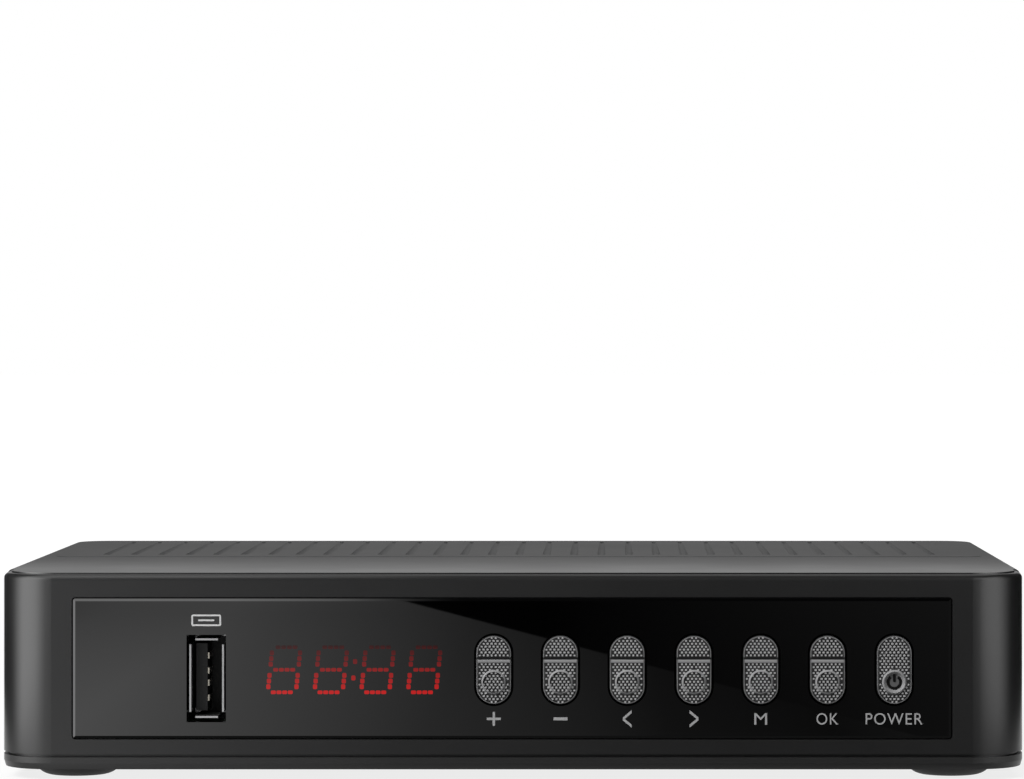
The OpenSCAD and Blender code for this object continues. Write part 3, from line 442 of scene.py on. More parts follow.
acrylic = {"grain": 500.0, "tone": 0.3, "handling": 0.012, "ior": 1.49, "bump": 0.02, "depth": 0.004 * mm}


def smokedAcrylic(name, colour, rough):
    material, tree, shader = newMaterial(name)
    grained = addGroup(tree, mouldGrain, "Grain", acrylic["grain"])
    shaded = shadeColour(tree, colour, grained["Handling"], acrylic["tone"])
    tree.links.new(shaded, shader.inputs["Base Color"])
    wander = addMath(tree, "MULTIPLY", grained["Handling"], acrylic["handling"])
    tree.links.new(addMath(tree, "ADD", wander, rough), shader.inputs["Roughness"])
    shader.inputs["IOR"].default_value = acrylic["ior"]
    # Painted reflection: the window's shine is dulled towards the right and on its lower bevel
    tree.links.new(paintedBevelReflection(tree), shader.inputs["Specular IOR Level"])
    addBump(tree, grained["Height"], acrylic["bump"], acrylic["depth"], shader)
    return material


lacquer = {"scale": 260.0, "trackWide": 0.03, "field": (0.012, 0.075, 0.03),
           "otherField": (0.016, 0.09, 0.038), "track": (0.04, 0.17, 0.06), "patchScale": 90.0,
           "patchRough": 0.15, "rough": 0.22, "bump": 0.3, "depth": 0.03 * mm}


def lacqueredBoard(name):
    # Green lacquer over copper tracks that run both ways
    material, tree, shader = newMaterial(name)
    place = surfacePlace(tree)
    tracks = tree.nodes.new("ShaderNodeTexBrick")
    tree.links.new(place, tracks.inputs["Vector"])
    tracks.inputs["Scale"].default_value = lacquer["scale"]
    tracks.inputs["Mortar Size"].default_value = lacquer["trackWide"]
    for label, key in (("Color1", "field"), ("Color2", "otherField"), ("Mortar", "track")):
        tracks.inputs[label].default_value = (*lacquer[key], 1)
    tree.links.new(tracks.outputs["Color"], shader.inputs["Base Color"])
    patch = addMath(tree, "MULTIPLY", addNoise(tree, place, lacquer["patchScale"]), lacquer["patchRough"])
    tree.links.new(addMath(tree, "ADD", patch, lacquer["rough"]), shader.inputs["Roughness"])
    addBump(tree, tracks.outputs["Fac"], lacquer["bump"], lacquer["depth"], shader)
    return material


ribbon = {"pitch": 1.27 * mm, "colour": (0.3, 0.3, 0.32), "tone": 0.4, "rough": 0.5, "bump": 0.6,
          "depth": 0.2 * mm}


def ribbonStrip(name):
    # Parallel wires under one flat sleeve
    material, tree, shader = newMaterial(name)
    wires = tree.nodes.new("ShaderNodeTexWave")
    wires.bands_direction = "X"
    tree.links.new(surfacePlace(tree), wires.inputs["Vector"])
    wires.inputs["Scale"].default_value = 1 / ribbon["pitch"] / math.tau * 2
    shift = roundZero(tree, wires.outputs["Fac"])
    tree.links.new(shadeColour(tree, ribbon["colour"], shift, ribbon["tone"]), shader.inputs["Base Color"])
    shader.inputs["Roughness"].default_value = ribbon["rough"]
    addBump(tree, wires.outputs["Fac"], ribbon["bump"], ribbon["depth"], shader)
    return material


# Painted shade: the glow runs from bright at the bottom to dim at the top of the figures
glow = {"fadeStart": -4.2 * mm, "fadeEnd": 4.0 * mm, "bottom": (0.52, 0.005, 0.005),
        "between": {0.52: (0.22, 0.005, 0.005), 0.62: (0.145, 0.004, 0.005)}, "top": (0.018, 0.001, 0.001),
        "flickerScale": 900.0, "flicker": 0.12, "unlit": (0.003, 0.001, 0.001), "specular": 0.3,
        "rough": 0.12}


def litDots(name, centreZ):
    # Painted shade: the glow is made to die away towards the top of the figures
    material, tree, shader = newMaterial(name)
    place = surfacePlace(tree)
    height = splitParts(tree, place)["Z"]
    climb = mapTo(tree, height, centreZ + glow["fadeStart"], centreZ + glow["fadeEnd"], 0, 1)
    noise = addMath(tree, "MULTIPLY", addNoise(tree, place, glow["flickerScale"]), glow["flicker"])
    flicker = addMath(tree, "SUBTRACT", noise, glow["flicker"] / 2)
    ramp = tree.nodes.new("ShaderNodeValToRGB")
    stops = ramp.color_ramp.elements
    stops[0].color = (*glow["bottom"], 1)
    stops[1].color = (*glow["top"], 1)
    for spot, colour in glow["between"].items():
        stops.new(spot).color = (*colour, 1)
    tree.links.new(addMath(tree, "ADD", climb, flicker), ramp.inputs[0])
    tree.links.new(ramp.outputs["Color"], shader.inputs["Emission Color"])
    shader.inputs["Emission Strength"].default_value = 1.0
    shader.inputs["Base Color"].default_value = (*glow["unlit"], 1)
    shader.inputs["Specular IOR Level"].default_value = glow["specular"]
    shader.inputs["Roughness"].default_value = glow["rough"]
    return material


finishes = {
    "case_plastic": mouldedPlastic("casePlastic", (0.015, 0.015, 0.0152), 0.30, specular=0.29),
    "rear_plastic": mouldedPlastic("rearPlastic", (0.014, 0.014, 0.0145), 0.5),
    "smoked_window": smokedAcrylic("smokedWindow", (0.0009, 0.0009, 0.001), 0.012),
    "foot_rubber": mouldedPlastic("footRubber", (0.012, 0.012, 0.012), 0.75, 3000.0, 0.03 * mm),
    "key_grey": mouldedPlastic("keyBody", (0.03, 0.03, 0.0305), 0.45, specular=0.15),
    "switch_black": mouldedPlastic("switchBlack", (0.02, 0.02, 0.02), 0.5),
    "circuit_board": lacqueredBoard("circuitBoard"),
    "display_black": mouldedPlastic("displayBlack", (0.006, 0.006, 0.006), 0.5),
    "display_red": mouldedPlastic("displayRed", (0.35, 0.012, 0.012), 0.35),
    "eye_plastic": mouldedPlastic("eyePlastic", (0.008, 0.006, 0.009), 0.12, 2000.0, 0.002 * mm),
    "ribbon_grey": ribbonStrip("ribbonGrey"),
    "plug_cream": mouldedPlastic("plugCream", (0.62, 0.57, 0.45), 0.5),
    "shell_metal": platedMetal("shellMetal", (0.62, 0.62, 0.63), 0.3),
    "barrel_nickel": platedMetal("barrelNickel", (0.66, 0.65, 0.62), 0.18, 1800.0, 0.003 * mm),
    "contact_brass": platedMetal("contactBrass", (0.45, 0.42, 0.36), 0.28),
    "socket_black": mouldedPlastic("socketBlack", (0.005, 0.005, 0.005), 0.5, specular=0.25),
    "chip_black": mouldedPlastic("chipBlack", (0.016, 0.016, 0.018), 0.6, 4000.0, 0.02 * mm),
    "cooler_metal": platedMetal("coolerMetal", (0.55, 0.56, 0.58), 0.38, 500.0, 0.02 * mm),
    "capacitor_sleeve": mouldedPlastic("capacitorSleeve", (0.012, 0.02, 0.05), 0.25, 2500.0, 0.004 * mm),
    "coil_grey": mouldedPlastic("coilGrey", (0.06, 0.055, 0.05), 0.7, 2600.0, 0.03 * mm),
    "screw_steel": platedMetal("screwSteel", (0.34, 0.34, 0.35), 0.34, 1500.0),
}
# Painted light and shade: the base tray is a lighter and the top cover a darker copy of the case plastic, for
# how each is lit; the data shell gets its own tin finish
paintedLightAndOwnFinishes = {
    "base_tray": mouldedPlastic("basePlasticPaintedLighter", (0.019, 0.019, 0.0192), 0.36, specular=0.3),
    "top_cover": mouldedPlastic("coverPlasticPaintedDarker", (0.006, 0.006, 0.0062), 0.35, twoZones=True),
    "data_shell": platedMetal("dataTin", (0.36, 0.36, 0.365), 0.3),
}
weaveGrey = mouldedPlastic("weaveGrey", (0.56, 0.56, 0.565), 0.5, specular=0.2)
trimGrey = mouldedPlastic("trimGrey", (0.36, 0.36, 0.365), 0.5, specular=0.2)
borderGrey = mouldedPlastic("borderGrey", (0.18, 0.18, 0.182), 0.45)
signWhite = mouldedPlastic("signWhite", (0.80, 0.80, 0.80), 0.55, 4000.0, 0.002 * mm)
dishGrey = mouldedPlastic("dishGrey", (0.14, 0.14, 0.142), 0.45, specular=0.2)
labelInk = mouldedPlastic("labelInk", (0.46, 0.46, 0.465), 0.55, 4000.0, 0.002 * mm)
symbolInk = mouldedPlastic("symbolInk", (0.004, 0.004, 0.004), 0.5, specular=0.1)

for part in frame["record"]["subparts"]:
    meshSlots = nodes[part["node"]].data.materials
    meshSlots.clear()
    meshSlots.append(paintedLightAndOwnFinishes.get(part["node"], finishes[part["material_slot"]]))
print("materials on", len(nodes), "frame nodes")


# Woven skin on the keys: rows of small blunt pegs, each row half a step along from the last

weave = {"stepX": 0.66 * mm, "stepZ": 0.96 * mm, "pegX": 0.46 * mm, "pegZ": 0.41 * mm, "tip": 0.62,
         "rise": 0.09 * mm, "sink": 0.12 * mm, "border": 0.2 * mm, "markRadius": 1.7 * mm,
         "markRise": 0.2 * mm, "markDrop": 2.0 * mm, "rimEdge": 2.05 * mm, "grooveRise": 1.9 * mm,
         "grooveHalf": 0.2 * mm, "keyWidth": 5.8 * mm, "keyLength": 11.3 * mm}
trim = {"edge": 0.08 * mm, "border": 0.16 * mm, "rise": 0.07 * mm, "sink": 0.1 * mm, "endRound": 0.4999,
        "endSteps": 14, "edgeRound": 0.9, "edgeSteps": 2, "bandTall": 0.5 * mm, "bandRound": 0.8,
        "rimSides": 56, "rimFoot": 2.16 * mm, "rimTop": 1.78 * mm, "rimRise": 0.38 * mm, "rimSink": 0.16 * mm,
        "rimInside": 1.74 * mm, "rimHollow": 1.3 * mm, "smoothDeg": 25}


def keyFace(name):
    # Middle of a key's plain face. All but the power key have a mark that stands out in front of it
    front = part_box("key_" + name)[0].y
    centre = middle("key_" + name)
    return Vector((centre.x, front + (weave["markRise"] if name != "power" else 0), centre.z))


def fromSpine(point, halfW, halfL):
    # Distance, seen from the front, from the middle line of a key's outline
    end = Vector((0, 0, max(halfW - halfL, min(halfL - halfW, point.z))))
    return (Vector((point.x, 0, point.z)) - end).length


def makePeg():
    depth = weave["rise"] + weave["sink"]
    peg = addBlock("weavePeg", (weave["pegX"], depth, weave["pegZ"]), (0, -depth / 2 + weave["sink"], 0))
    editFaces(peg, facesFront)
    resizeChosen((weave["tip"], 1, weave["tip"]))
    return peg


def pegSpot(point):
    # Middle of the peg that a point belongs to, on the two interlaced grids
    stepX, stepZ = weave["stepX"], weave["stepZ"]
    spots = []
    for shift in (0, 0.5):
        spots.append(Vector(((round(point.x / stepX - shift) + shift) * stepX, 0,
                             (round(point.z / stepZ - shift) + shift) * stepZ)))
    flat = Vector((point.x, 0, point.z))
    return min(spots, key=lambda spot: (spot - flat).length)


def makeKeySkin(name, peg):
    hasMark = name != "power"
    stepX, stepZ, reach = weave["stepX"], weave["stepZ"], weave["pegX"] / 2
    halfW = weave["keyWidth"] / 2 - weave["border"]
    halfL = weave["keyLength"] / 2 - weave["border"]
    across, along = math.ceil(halfW / stepX), math.ceil(halfL / stepZ)
    skin = copyTo(peg, (0, 0, 0))
    repeatBy(skin, 2 * across + 1, (stepX, 0, 0))
    repeatBy(skin, 2, (stepX / 2, 0, stepZ / 2))
    repeatBy(skin, 2 * along + 1, (0, 0, stepZ))
    skin.location = (-across * stepX, 0, -along * stepZ)
    applyPlace(skin)
    mark = Vector((0, 0, -weave["markDrop"]))
    bandFoot = weave["grooveRise"] - weave["grooveHalf"] - trim["bandTall"] - reach / 2
    grooveTop = weave["grooveRise"] + weave["grooveHalf"] + reach / 2

    def offTheSkin(point):
        spot = pegSpot(point)
        inGroove = hasMark and bandFoot < spot.z < grooveTop
        fromMark = (spot - mark).length
        inRim = fromMark < weave["rimEdge"] and (not hasMark or fromMark > weave["markRadius"])
        return fromSpine(spot, halfW, halfL) > halfW - reach / 2 or inGroove or inRim

    editPoints(skin, offTheSkin)
    bpy.ops.mesh.delete(type="VERT")
    leaveEdit()
    if hasMark:
        editPoints(skin, lambda point: (pegSpot(point) - mark).length < weave["markRadius"])
        bpy.ops.transform.translate(value=(0, -weave["markRise"], 0))
        leaveEdit()
    skin.location = keyFace(name)
    skin.name = skin.data.name = "keySkin_" + name
    seat(skin, name + "_key", weaveGrey)


def isInner(point):
    # On the inner outline of the border
    halfW = weave["keyWidth"] / 2 - trim["edge"]
    halfL = weave["keyLength"] / 2 - trim["edge"]
    return fromSpine(point, halfW, halfL) < halfW - trim["border"] / 2


def splitAtGroove(border):
    halves = [border, copyTo(border, (0, 0, 0))]
    for half, side in zip(halves, (-1, 1)):
        editFaces(half, everyFace)
        level = weave["grooveRise"] + side * weave["grooveHalf"]
        bpy.ops.mesh.bisect(plane_co=(0, 0, level), plane_no=(0, 0, side), use_fill=True, clear_inner=True)
        leaveEdit()
    return joinAll(halves, "keyBorder")


def makeBorder(hasMark):
    # Smooth border round the key's face, parted by the groove where there is one
    depth = trim["rise"] + trim["sink"]
    wide = weave["keyWidth"] - 2 * trim["edge"]
    tall = weave["keyLength"] - 2 * trim["edge"]
    border = addBlock("keyBorder", (wide, depth, tall), (0, -depth / 2 + trim["sink"], 0))
    roundEdges(border, acrossDepth(depth), wide * trim["endRound"], trim["endSteps"])
    openMiddle(border, trim["border"])
    roundEdges(border, lambda a, b: max(a.y, b.y) < 0 and not isInner(a) and not isInner(b),
               trim["rise"] * trim["edgeRound"], trim["edgeSteps"])
    return splitAtGroove(border) if hasMark else border


def makeRim(hasMark):
    # Sloped rim round the mark. On the power key its inner wall slopes in to the floor of the dish
    foot, inside = trim["rimFoot"], trim["rimInside"]
    rim = addRound("markRim", trim["rimSides"], foot, trim["rimRise"] + trim["rimSink"], tip=90)
    openMiddle(rim, foot - inside)
    slope, hollow = trim["rimTop"] / foot, trim["rimHollow"] / inside
    between = (foot + inside) / 2
    editPoints(rim, lambda point: point.y < 0 and point.length > between)
    resizeChosen((slope, 1, slope))
    if not hasMark:
        editPoints(rim, lambda point: point.y > 0 and point.length < between)
        resizeChosen((hollow, 1, hollow))
    rim.location = (0, (trim["rimSink"] - trim["rimRise"]) / 2, -weave["markDrop"])
    return rim


def makeBand():
    # Smooth band under the groove
    depth = trim["rise"] + trim["sink"]
    wide = weave["keyWidth"] - 2 * trim["edge"] - trim["border"]
    level = weave["grooveRise"] - weave["grooveHalf"] - trim["bandTall"] / 2
    band = addBlock("keyBand", (wide, depth, trim["bandTall"]), (0, -depth / 2 + trim["sink"], level))
    roundEdges(band, lambda a, b: max(a.y, b.y) < 0 and abs(a.z - b.z) < tiny,
               trim["rise"] * trim["bandRound"], trim["edgeSteps"])
    return band


def placeTrim(pattern, title, name, material):
    piece = copyTo(pattern, keyFace(name))
    piece.name = piece.data.name = title + name
    smoothBelow(piece, trim["smoothDeg"])
    seat(piece, name + "_key", material)


weavePeg = makePeg()
keyBorder = makeBorder(True)
markedTrim = joinAll([makeRim(True), makeBand()], "keyTrim")
dishBorder = makeBorder(False)
dishTrim = makeRim(False)
applyPlace(markedTrim)
applyPlace(dishTrim)
for keyName in keyNames:
    makeKeySkin(keyName, weavePeg)
    placeTrim(dishBorder if keyName == "power" else keyBorder, "keyBorder_", keyName, borderGrey)
    placeTrim(dishTrim if keyName == "power" else markedTrim, "keyTrim_", keyName, trimGrey)
for pattern in (weavePeg, markedTrim, dishTrim, keyBorder, dishBorder):
    bpy.data.objects.remove(pattern)
print("key skins and trims done")


# Power mark in the dish of the last key: an open ring and a bar

powerMark = {"radius": 1.02 * mm, "stroke": 0.44 * mm, "thick": 0.06 * mm, "sink": 0.02 * mm, "gapDeg": 70,
             "ringSteps": 30, "bar": 1.45 * mm, "barRise": 0.72 * mm, "barRound": 0.45, "barSteps": 4,
             "drop": 2.0 * mm, "dishDepth": 0.2 * mm, "dishRadius": 1.6 * mm, "dishSides": 48,
             "dishSlope": 0.15, "dishHollow": 0.4}


def makePowerSign():
    stroke, thick = powerMark["stroke"], powerMark["thick"]
    start = math.radians(90 + powerMark["gapDeg"] / 2)
    turn = math.radians(360 - powerMark["gapDeg"])
    ring = addSheet("powerRing", (stroke, thick), (powerMark["radius"], 0, 0))
    ring.rotation_euler = (0, -start, 0)
    applyPlace(ring)
    editFaces(ring, everyFace)
    bpy.ops.mesh.spin(steps=powerMark["ringSteps"], angle=turn, center=(0, 0, 0), axis=(0, 1, 0))
    leaveEdit()
    bar = addBlock("powerBar", (stroke, thick, powerMark["bar"]), (0, 0, powerMark["barRise"]))
    roundEdges(bar, acrossDepth(thick), stroke * powerMark["barRound"], powerMark["barSteps"])
    sign = joinAll([ring, bar], "powerMark")
    cleanMesh(sign)
    return sign


def makePowerDish():
    radius, thick = powerMark["dishRadius"], powerMark["thick"]
    dish = addRound("powerDish", powerMark["dishSides"], radius, thick, tip=90)
    editFaces(dish, facesFront)
    bpy.ops.mesh.inset(thickness=radius * powerMark["dishSlope"])
    bpy.ops.transform.translate(value=(0, thick * powerMark["dishHollow"], 0))
    leaveEdit()
    return dish


def placePowerMark():
    # The dish lies on the floor of the key's hollow and the sign on the dish
    centre = middle("key_power")
    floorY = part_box("key_power")[0].y + powerMark["dishDepth"]
    level, thick = centre.z - powerMark["drop"], powerMark["thick"]
    sign = makePowerSign()
    sign.location = (centre.x, floorY - thick - thick / 2 + powerMark["sink"], level)
    dish = makePowerDish()
    dish.location = (centre.x, floorY - thick / 2 + seatDepth, level)
    seat(dish, "power_key", dishGrey)
    seat(sign, "power_key", symbolInk)


placePowerMark()
print("power mark done")


# Printed signs under the keys: the sign, its width and its height

signs = {"plus": ("+", 2.3 * mm, 2.3 * mm), "minus": ("-", 2.3 * mm, 0.5 * mm),
         "left": ("<", 1.45 * mm, 2.9 * mm), "right": (">", 1.45 * mm, 2.9 * mm),
         "menu": ("M", 2.1 * mm, 1.9 * mm), "ok": ("OK", 3.6 * mm, 1.9 * mm),
         "power": ("POWER", 9.4 * mm, 1.9 * mm)}
signLook = {"level": 10.2 * mm, "spacing": 1.12, "extrude": 0.01}
inkThick = 0.03 * mm
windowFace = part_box("front_window")[0].y


def makeSign(name):
    words, width, height = signs[name]
    dropSelection()
    bpy.ops.object.text_add(location=(0, 0, 0))
    text = bpy.context.view_layer.objects.active.data
    text.body = words
    text.align_x = "CENTER"
    text.align_y = "CENTER"
    text.extrude = signLook["extrude"]
    text.space_character = signLook["spacing"]
    bpy.ops.object.convert(target="MESH")
    sign = newest("sign_" + name)
    sign.rotation_euler = (math.radians(90), 0, 0)
    applyPlace(sign)
    spans = list(zip(*sign.bound_box))
    low = Vector([min(span) for span in spans])
    high = Vector([max(span) for span in spans])
    size = high - low
    sign.location = -(low + high) / 2
    applyPlace(sign)
    sign.scale = (width / size.x, inkThick / size.y, height / size.z)
    sign.location = (middle("key_" + name).x, windowFace - inkThick / 2 + seatDepth, signLook["level"])
    applyPlace(sign)
    cleanMesh(sign)
    seat(sign, "case", labelInk)


for keyName in keyNames:
    makeSign(keyName)
print("signs done")


# Plain outline of a socket's mouth, printed over the data socket

mouthSign = {"width": 4.9 * mm, "height": 1.9 * mm, "stroke": 0.28 * mm, "cornerSteps": 3, "bar": 2.7 * mm,
             "barRound": 0.4, "barSteps": 2, "above": 2.1 * mm}


def makeMouthSign():
    low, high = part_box("data_shell")
    height, stroke = mouthSign["height"], mouthSign["stroke"]
    outline = addBlock("mouthSign", (mouthSign["width"], inkThick, height))
    roundEdges(outline, acrossDepth(inkThick), stroke, mouthSign["cornerSteps"])
    openMiddle(outline, stroke)
    bar = addBlock("mouthBar", (mouthSign["bar"], inkThick, stroke))
    roundEdges(bar, acrossDepth(inkThick), stroke * mouthSign["barRound"], mouthSign["barSteps"])
    sign = joinAll([outline, bar], "mouthSign")
    cleanMesh(sign)
    sign.location = ((low.x + high.x) / 2, windowFace - inkThick / 2 + seatDepth,
                     high.z + mouthSign["above"] + height / 2)
    seat(sign, "case", signWhite)


makeMouthSign()
print("mouth sign done")


# Clock figures: rows of lit dots that shine through the window

figures = {"count": 4, "width": 5.3 * mm, "height": 8.1 * mm, "pitch": 7.7 * mm, "slantDeg": 6,
           "dotWide": 0.82 * mm, "dotTall": 0.66 * mm, "lyingTall": 0.9, "uprightWide": 1.05, "dotRound": 0.3,
           "dotSteps": 3, "thick": 0.03 * mm, "acrossDots": 4, "uprightDots": 3, "dotStep": 0.93 * mm,
           "colonRise": 1.35 * mm}


def makeDot(wide, tall):
    thick = figures["thick"]
    dot = addBlock("clockDot", (wide, thick, tall))
    roundEdges(dot, acrossDepth(thick), min(wide, tall) * figures["dotRound"], figures["dotSteps"])
    return dot


def dotPlaces():
    # Places of the lying and the upright dots of one figure, about its middle
    halfW = (figures["width"] - figures["dotTall"]) / 2
    halfH = (figures["height"] - figures["dotTall"]) / 2
    across = evenPlaces(figures["acrossDots"], figures["dotStep"])
    upward = evenPlaces(figures["uprightDots"], figures["dotStep"])
    lying = [(x, level * halfH) for level in (-1, 0, 1) for x in across]
    upright = [(side * halfW, half * halfH / 2 + z) for side in (-1, 1) for half in (-1, 1) for z in upward]
    return lying, upright


def makeFigures():
    centre = middle("display_housing")
    lean = math.tan(math.radians(figures["slantDeg"]))
    lyingDot = makeDot(figures["dotWide"], figures["dotTall"] * figures["lyingTall"])
    uprightDot = makeDot(figures["dotTall"] * figures["uprightWide"], figures["dotWide"])
    lying, upright = dotPlaces()
    dots = []
    for shift in evenPlaces(figures["count"], figures["pitch"]):
        for dot, places in ((lyingDot, lying), (uprightDot, upright)):
            dots += [copyTo(dot, (shift + x + lean * z, 0, z)) for x, z in places]
    for half in (-1, 1):
        z = half * figures["colonRise"]
        dots.append(copyTo(uprightDot, (lean * z, 0, z)))
    lit = joinAll(dots, "clockFigures")
    bpy.data.objects.remove(lyingDot)
    bpy.data.objects.remove(uprightDot)
    applyPlace(lit)
    lit.location = (centre.x, windowFace - figures["thick"] / 2 + seatDepth, centre.z)
    seat(lit, "case", litDots("clockGlow", centre.z))


makeFigures()
print("clock figures done")


# Case screws with rounded heads and cross recesses, in the wells of the base

caseScrew = {"sides": 40, "headR": 2.7 * mm, "headH": 2.0 * mm, "headRound": 0.8 * mm, "roundSteps": 5,
             "shankR": 1.45 * mm, "point": 1.0 * mm, "pointTaper": 0.35, "crossWide": 0.75 * mm,
             "crossLong": 3.1 * mm, "crossDeep": 1.1 * mm, "crossTaper": 0.45, "smoothDeg": 35}


def makeScrew(length):
    # Head down, with its outer face at zero
    headR, headH, point = caseScrew["headR"], caseScrew["headH"], caseScrew["point"]
    screw = addRound("screwHead", caseScrew["sides"], headR, headH, (0, 0, headH / 2))
    editFaces(screw, facesUp)
    bpy.ops.mesh.inset(thickness=headR - caseScrew["shankR"])
    for rise in (length - headH - point, point):
        bpy.ops.mesh.extrude_region_move(TRANSFORM_OT_translate={"value": (0, 0, rise)})
    resizeChosen((caseScrew["pointTaper"], caseScrew["pointTaper"], 1))
    roundEdges(screw, lambda a, b: max(a.z, b.z) < tiny, caseScrew["headRound"], caseScrew["roundSteps"])
    bladeSize = (caseScrew["crossLong"], caseScrew["crossWide"], 2 * caseScrew["crossDeep"])
    for turn in (0, 90):
        blade = addBlock("crossBlade", bladeSize, turn=turn)
        editFaces(blade, facesUp)
        resizeChosen((caseScrew["crossTaper"], caseScrew["crossTaper"], 1))
        useModifier(screw, "BOOLEAN", operation="DIFFERENCE", object=blade, solver="EXACT")
        bpy.data.objects.remove(blade)
    return screw


def makeCaseScrews():
    low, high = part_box("case_screws")
    screw = makeScrew(high.z - low.z)
    inset = caseScrew["headR"]
    spots = [(x, y) for x in (low.x + inset, high.x - inset) for y in (low.y + inset, high.y - inset)]
    screws = [copyTo(screw, (x, y, low.z)) for x, y in spots]
    bpy.data.objects.remove(screw)
    made = joinAll(screws, "caseScrewSet")
    applyPlace(made)
    smoothBelow(made, caseScrew["smoothDeg"])
    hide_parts("case_screws")
    seat(made, "case", finishes["screw_steel"])


makeCaseScrews()
print("case screws done")


# Contact strips on the picture socket's tongue

strips = {"pitch": 1.0 * mm, "wide": 0.45 * mm, "thick": 0.06 * mm, "length": 5.8 * mm, "endRound": 0.45,
          "endSteps": 2, "above": 10, "below": 9, "short": 0.5 * mm, "tongueThick": 1.3 * mm}


def makeStripRow(count):
    wide, thick, pitch = strips["wide"], strips["thick"], strips["pitch"]
    row = addBlock("stripRow", (wide, strips["length"], thick))
    roundEdges(row, lambda a, b: min(a.y, b.y) > 0 and abs(a.x - b.x) > wide / 2,
               thick * strips["endRound"], strips["endSteps"])
    repeatBy(row, count, (pitch, 0, 0))
    row.location.x = -(count - 1) * pitch / 2
    applyPlace(row)
    return row


def makePictureContacts():
    # The tongue's lower face lies at half the height of its back block
    low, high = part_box("picture_tongue")
    centre = (low + high) / 2
    middleY = high.y - strips["short"] - strips["length"] / 2
    rise = strips["thick"] / 2 - seatDepth
    upper = makeStripRow(strips["above"])
    lower = makeStripRow(strips["below"])
    upper.location = (centre.x, middleY, centre.z + strips["tongueThick"] + rise)
    lower.location = (centre.x, middleY, centre.z - rise)
    applyPlace(upper)
    applyPlace(lower)
    contacts = joinAll([upper, lower], "pictureContacts")
    seat(contacts, "case", finishes["contact_brass"])


makePictureContacts()
print("picture contacts done")


# Floor, light and camera

studio = {"floorSize": 12.0, "floorDrop": 0.05 * mm, "floorTone": 0.22, "ambient": 0.08, "glowNear": 0.82,
          "glowFar": 1.0, "nearAt": 0.2, "farAt": 0.9}


def bareMaterial(name):
    material, tree = newMaterial(name)[:2]
    tree.nodes.clear()
    return material, tree


def rayMask(tree):
    # One for rays that show the background: camera, glossy and transmission rays
    path = tree.nodes.new("ShaderNodeLightPath").outputs
    both = addMath(tree, "MAXIMUM", path["Is Camera Ray"], path["Is Glossy Ray"])
    return addMath(tree, "MAXIMUM", both, path["Is Transmission Ray"])


def makeFloor():
    dropSelection()
    bpy.ops.mesh.primitive_plane_add(size=studio["floorSize"], location=(0, 0, -studio["floorDrop"]))
    floor = newest("floor")
    material, tree = bareMaterial("paleFloor")
    matt = tree.nodes.new("ShaderNodeBsdfDiffuse")
    matt.inputs["Color"].default_value = (studio["floorTone"],) * 3 + (1,)
    shine = tree.nodes.new("ShaderNodeEmission")
    spread = tree.nodes.new("ShaderNodeVectorMath")
    spread.operation = "LENGTH"
    tree.links.new(surfacePlace(tree), spread.inputs[0])
    lift = mapTo(tree, spread.outputs["Value"], studio["nearAt"], studio["farAt"],
                 studio["glowNear"], studio["glowFar"], True)
    tree.links.new(addMath(tree, "MULTIPLY", rayMask(tree), lift), shine.inputs["Strength"])
    both = tree.nodes.new("ShaderNodeAddShader")
    tree.links.new(matt.outputs[0], both.inputs[0])
    tree.links.new(shine.outputs[0], both.inputs[1])
    tree.links.new(both.outputs[0], tree.nodes.new("ShaderNodeOutputMaterial").inputs["Surface"])
    floor.data.materials.append(material)


def makeWorld():
    world = bpy.data.worlds.new("studioWorld")
    bpy.context.scene.world = world
    world.use_nodes = True
    tree = world.node_tree
    back = tree.nodes["Background"]
    back.inputs["Color"].default_value = (1, 1, 1, 1)
    shown = addMath(tree, "MULTIPLY", rayMask(tree), 1 - studio["ambient"])
    tree.links.new(addMath(tree, "ADD", shown, studio["ambient"]), back.inputs["Strength"])


def emitting(name):
    material, tree = bareMaterial(name)
    shine = tree.nodes.new("ShaderNodeEmission")
    tree.links.new(shine.outputs[0], tree.nodes.new("ShaderNodeOutputMaterial").inputs["Surface"])
    return material, tree, shine.inputs["Strength"], splitParts(tree, surfacePlace(tree))


def fadeAcross(tree, value, stops):
    # Strength that follows the stops along a line, straight between them
    low, high = stops[0][0], stops[-1][0]
    peak = max(strength for place, strength in stops)
    ramp = tree.nodes.new("ShaderNodeValToRGB")
    points = ramp.color_ramp.elements
    while len(points) < len(stops):
        points.new(0.5)
    for point, (place, strength) in zip(points, stops):
        point.position = (place - low) / (high - low)
        point.color = (strength / peak,) * 3 + (1,)
    tree.links.new(mapTo(tree, value, low, high, 0, 1), ramp.inputs[0])
    return addMath(tree, "MULTIPLY", ramp.outputs["Color"], peak)


def onlyReflected(card, material):
    card.data.materials.append(material)
    card.visible_camera = False
    card.visible_diffuse = False
    card.visible_transmission = False
    card.visible_shadow = False


# The card in front is what the window mirrors: bright at the left, with a dark slanted part at the right.
# lift and dark each give two places and the strengths there, lift along the depth and dark along the width
frontCard = {"half": 0.45, "near": -0.058, "far": -0.95, "height": 0.3 * mm, "edgeA": (-0.0359, -0.486),
             "edgeB": (0.0428, -0.2239), "edgeSoft": 0.0012, "lift": (-0.45, -0.12, 0.86, 1.32),
             "dark": (0.0, 0.16, 0.0, 0.2),
             "fade": [(-0.20, 0.2), (-0.14, 1.0), (-0.115, 1.3), (-0.085, 1.36), (-0.065, 1.02),
                      (-0.05, 0.82), (-0.0176, 0.39), (-0.0024, 0.28), (0.012, 0.2), (0.027, 0.1),
                      (0.0575, 0.06), (0.09, 0.17), (0.2, 0.24)]}


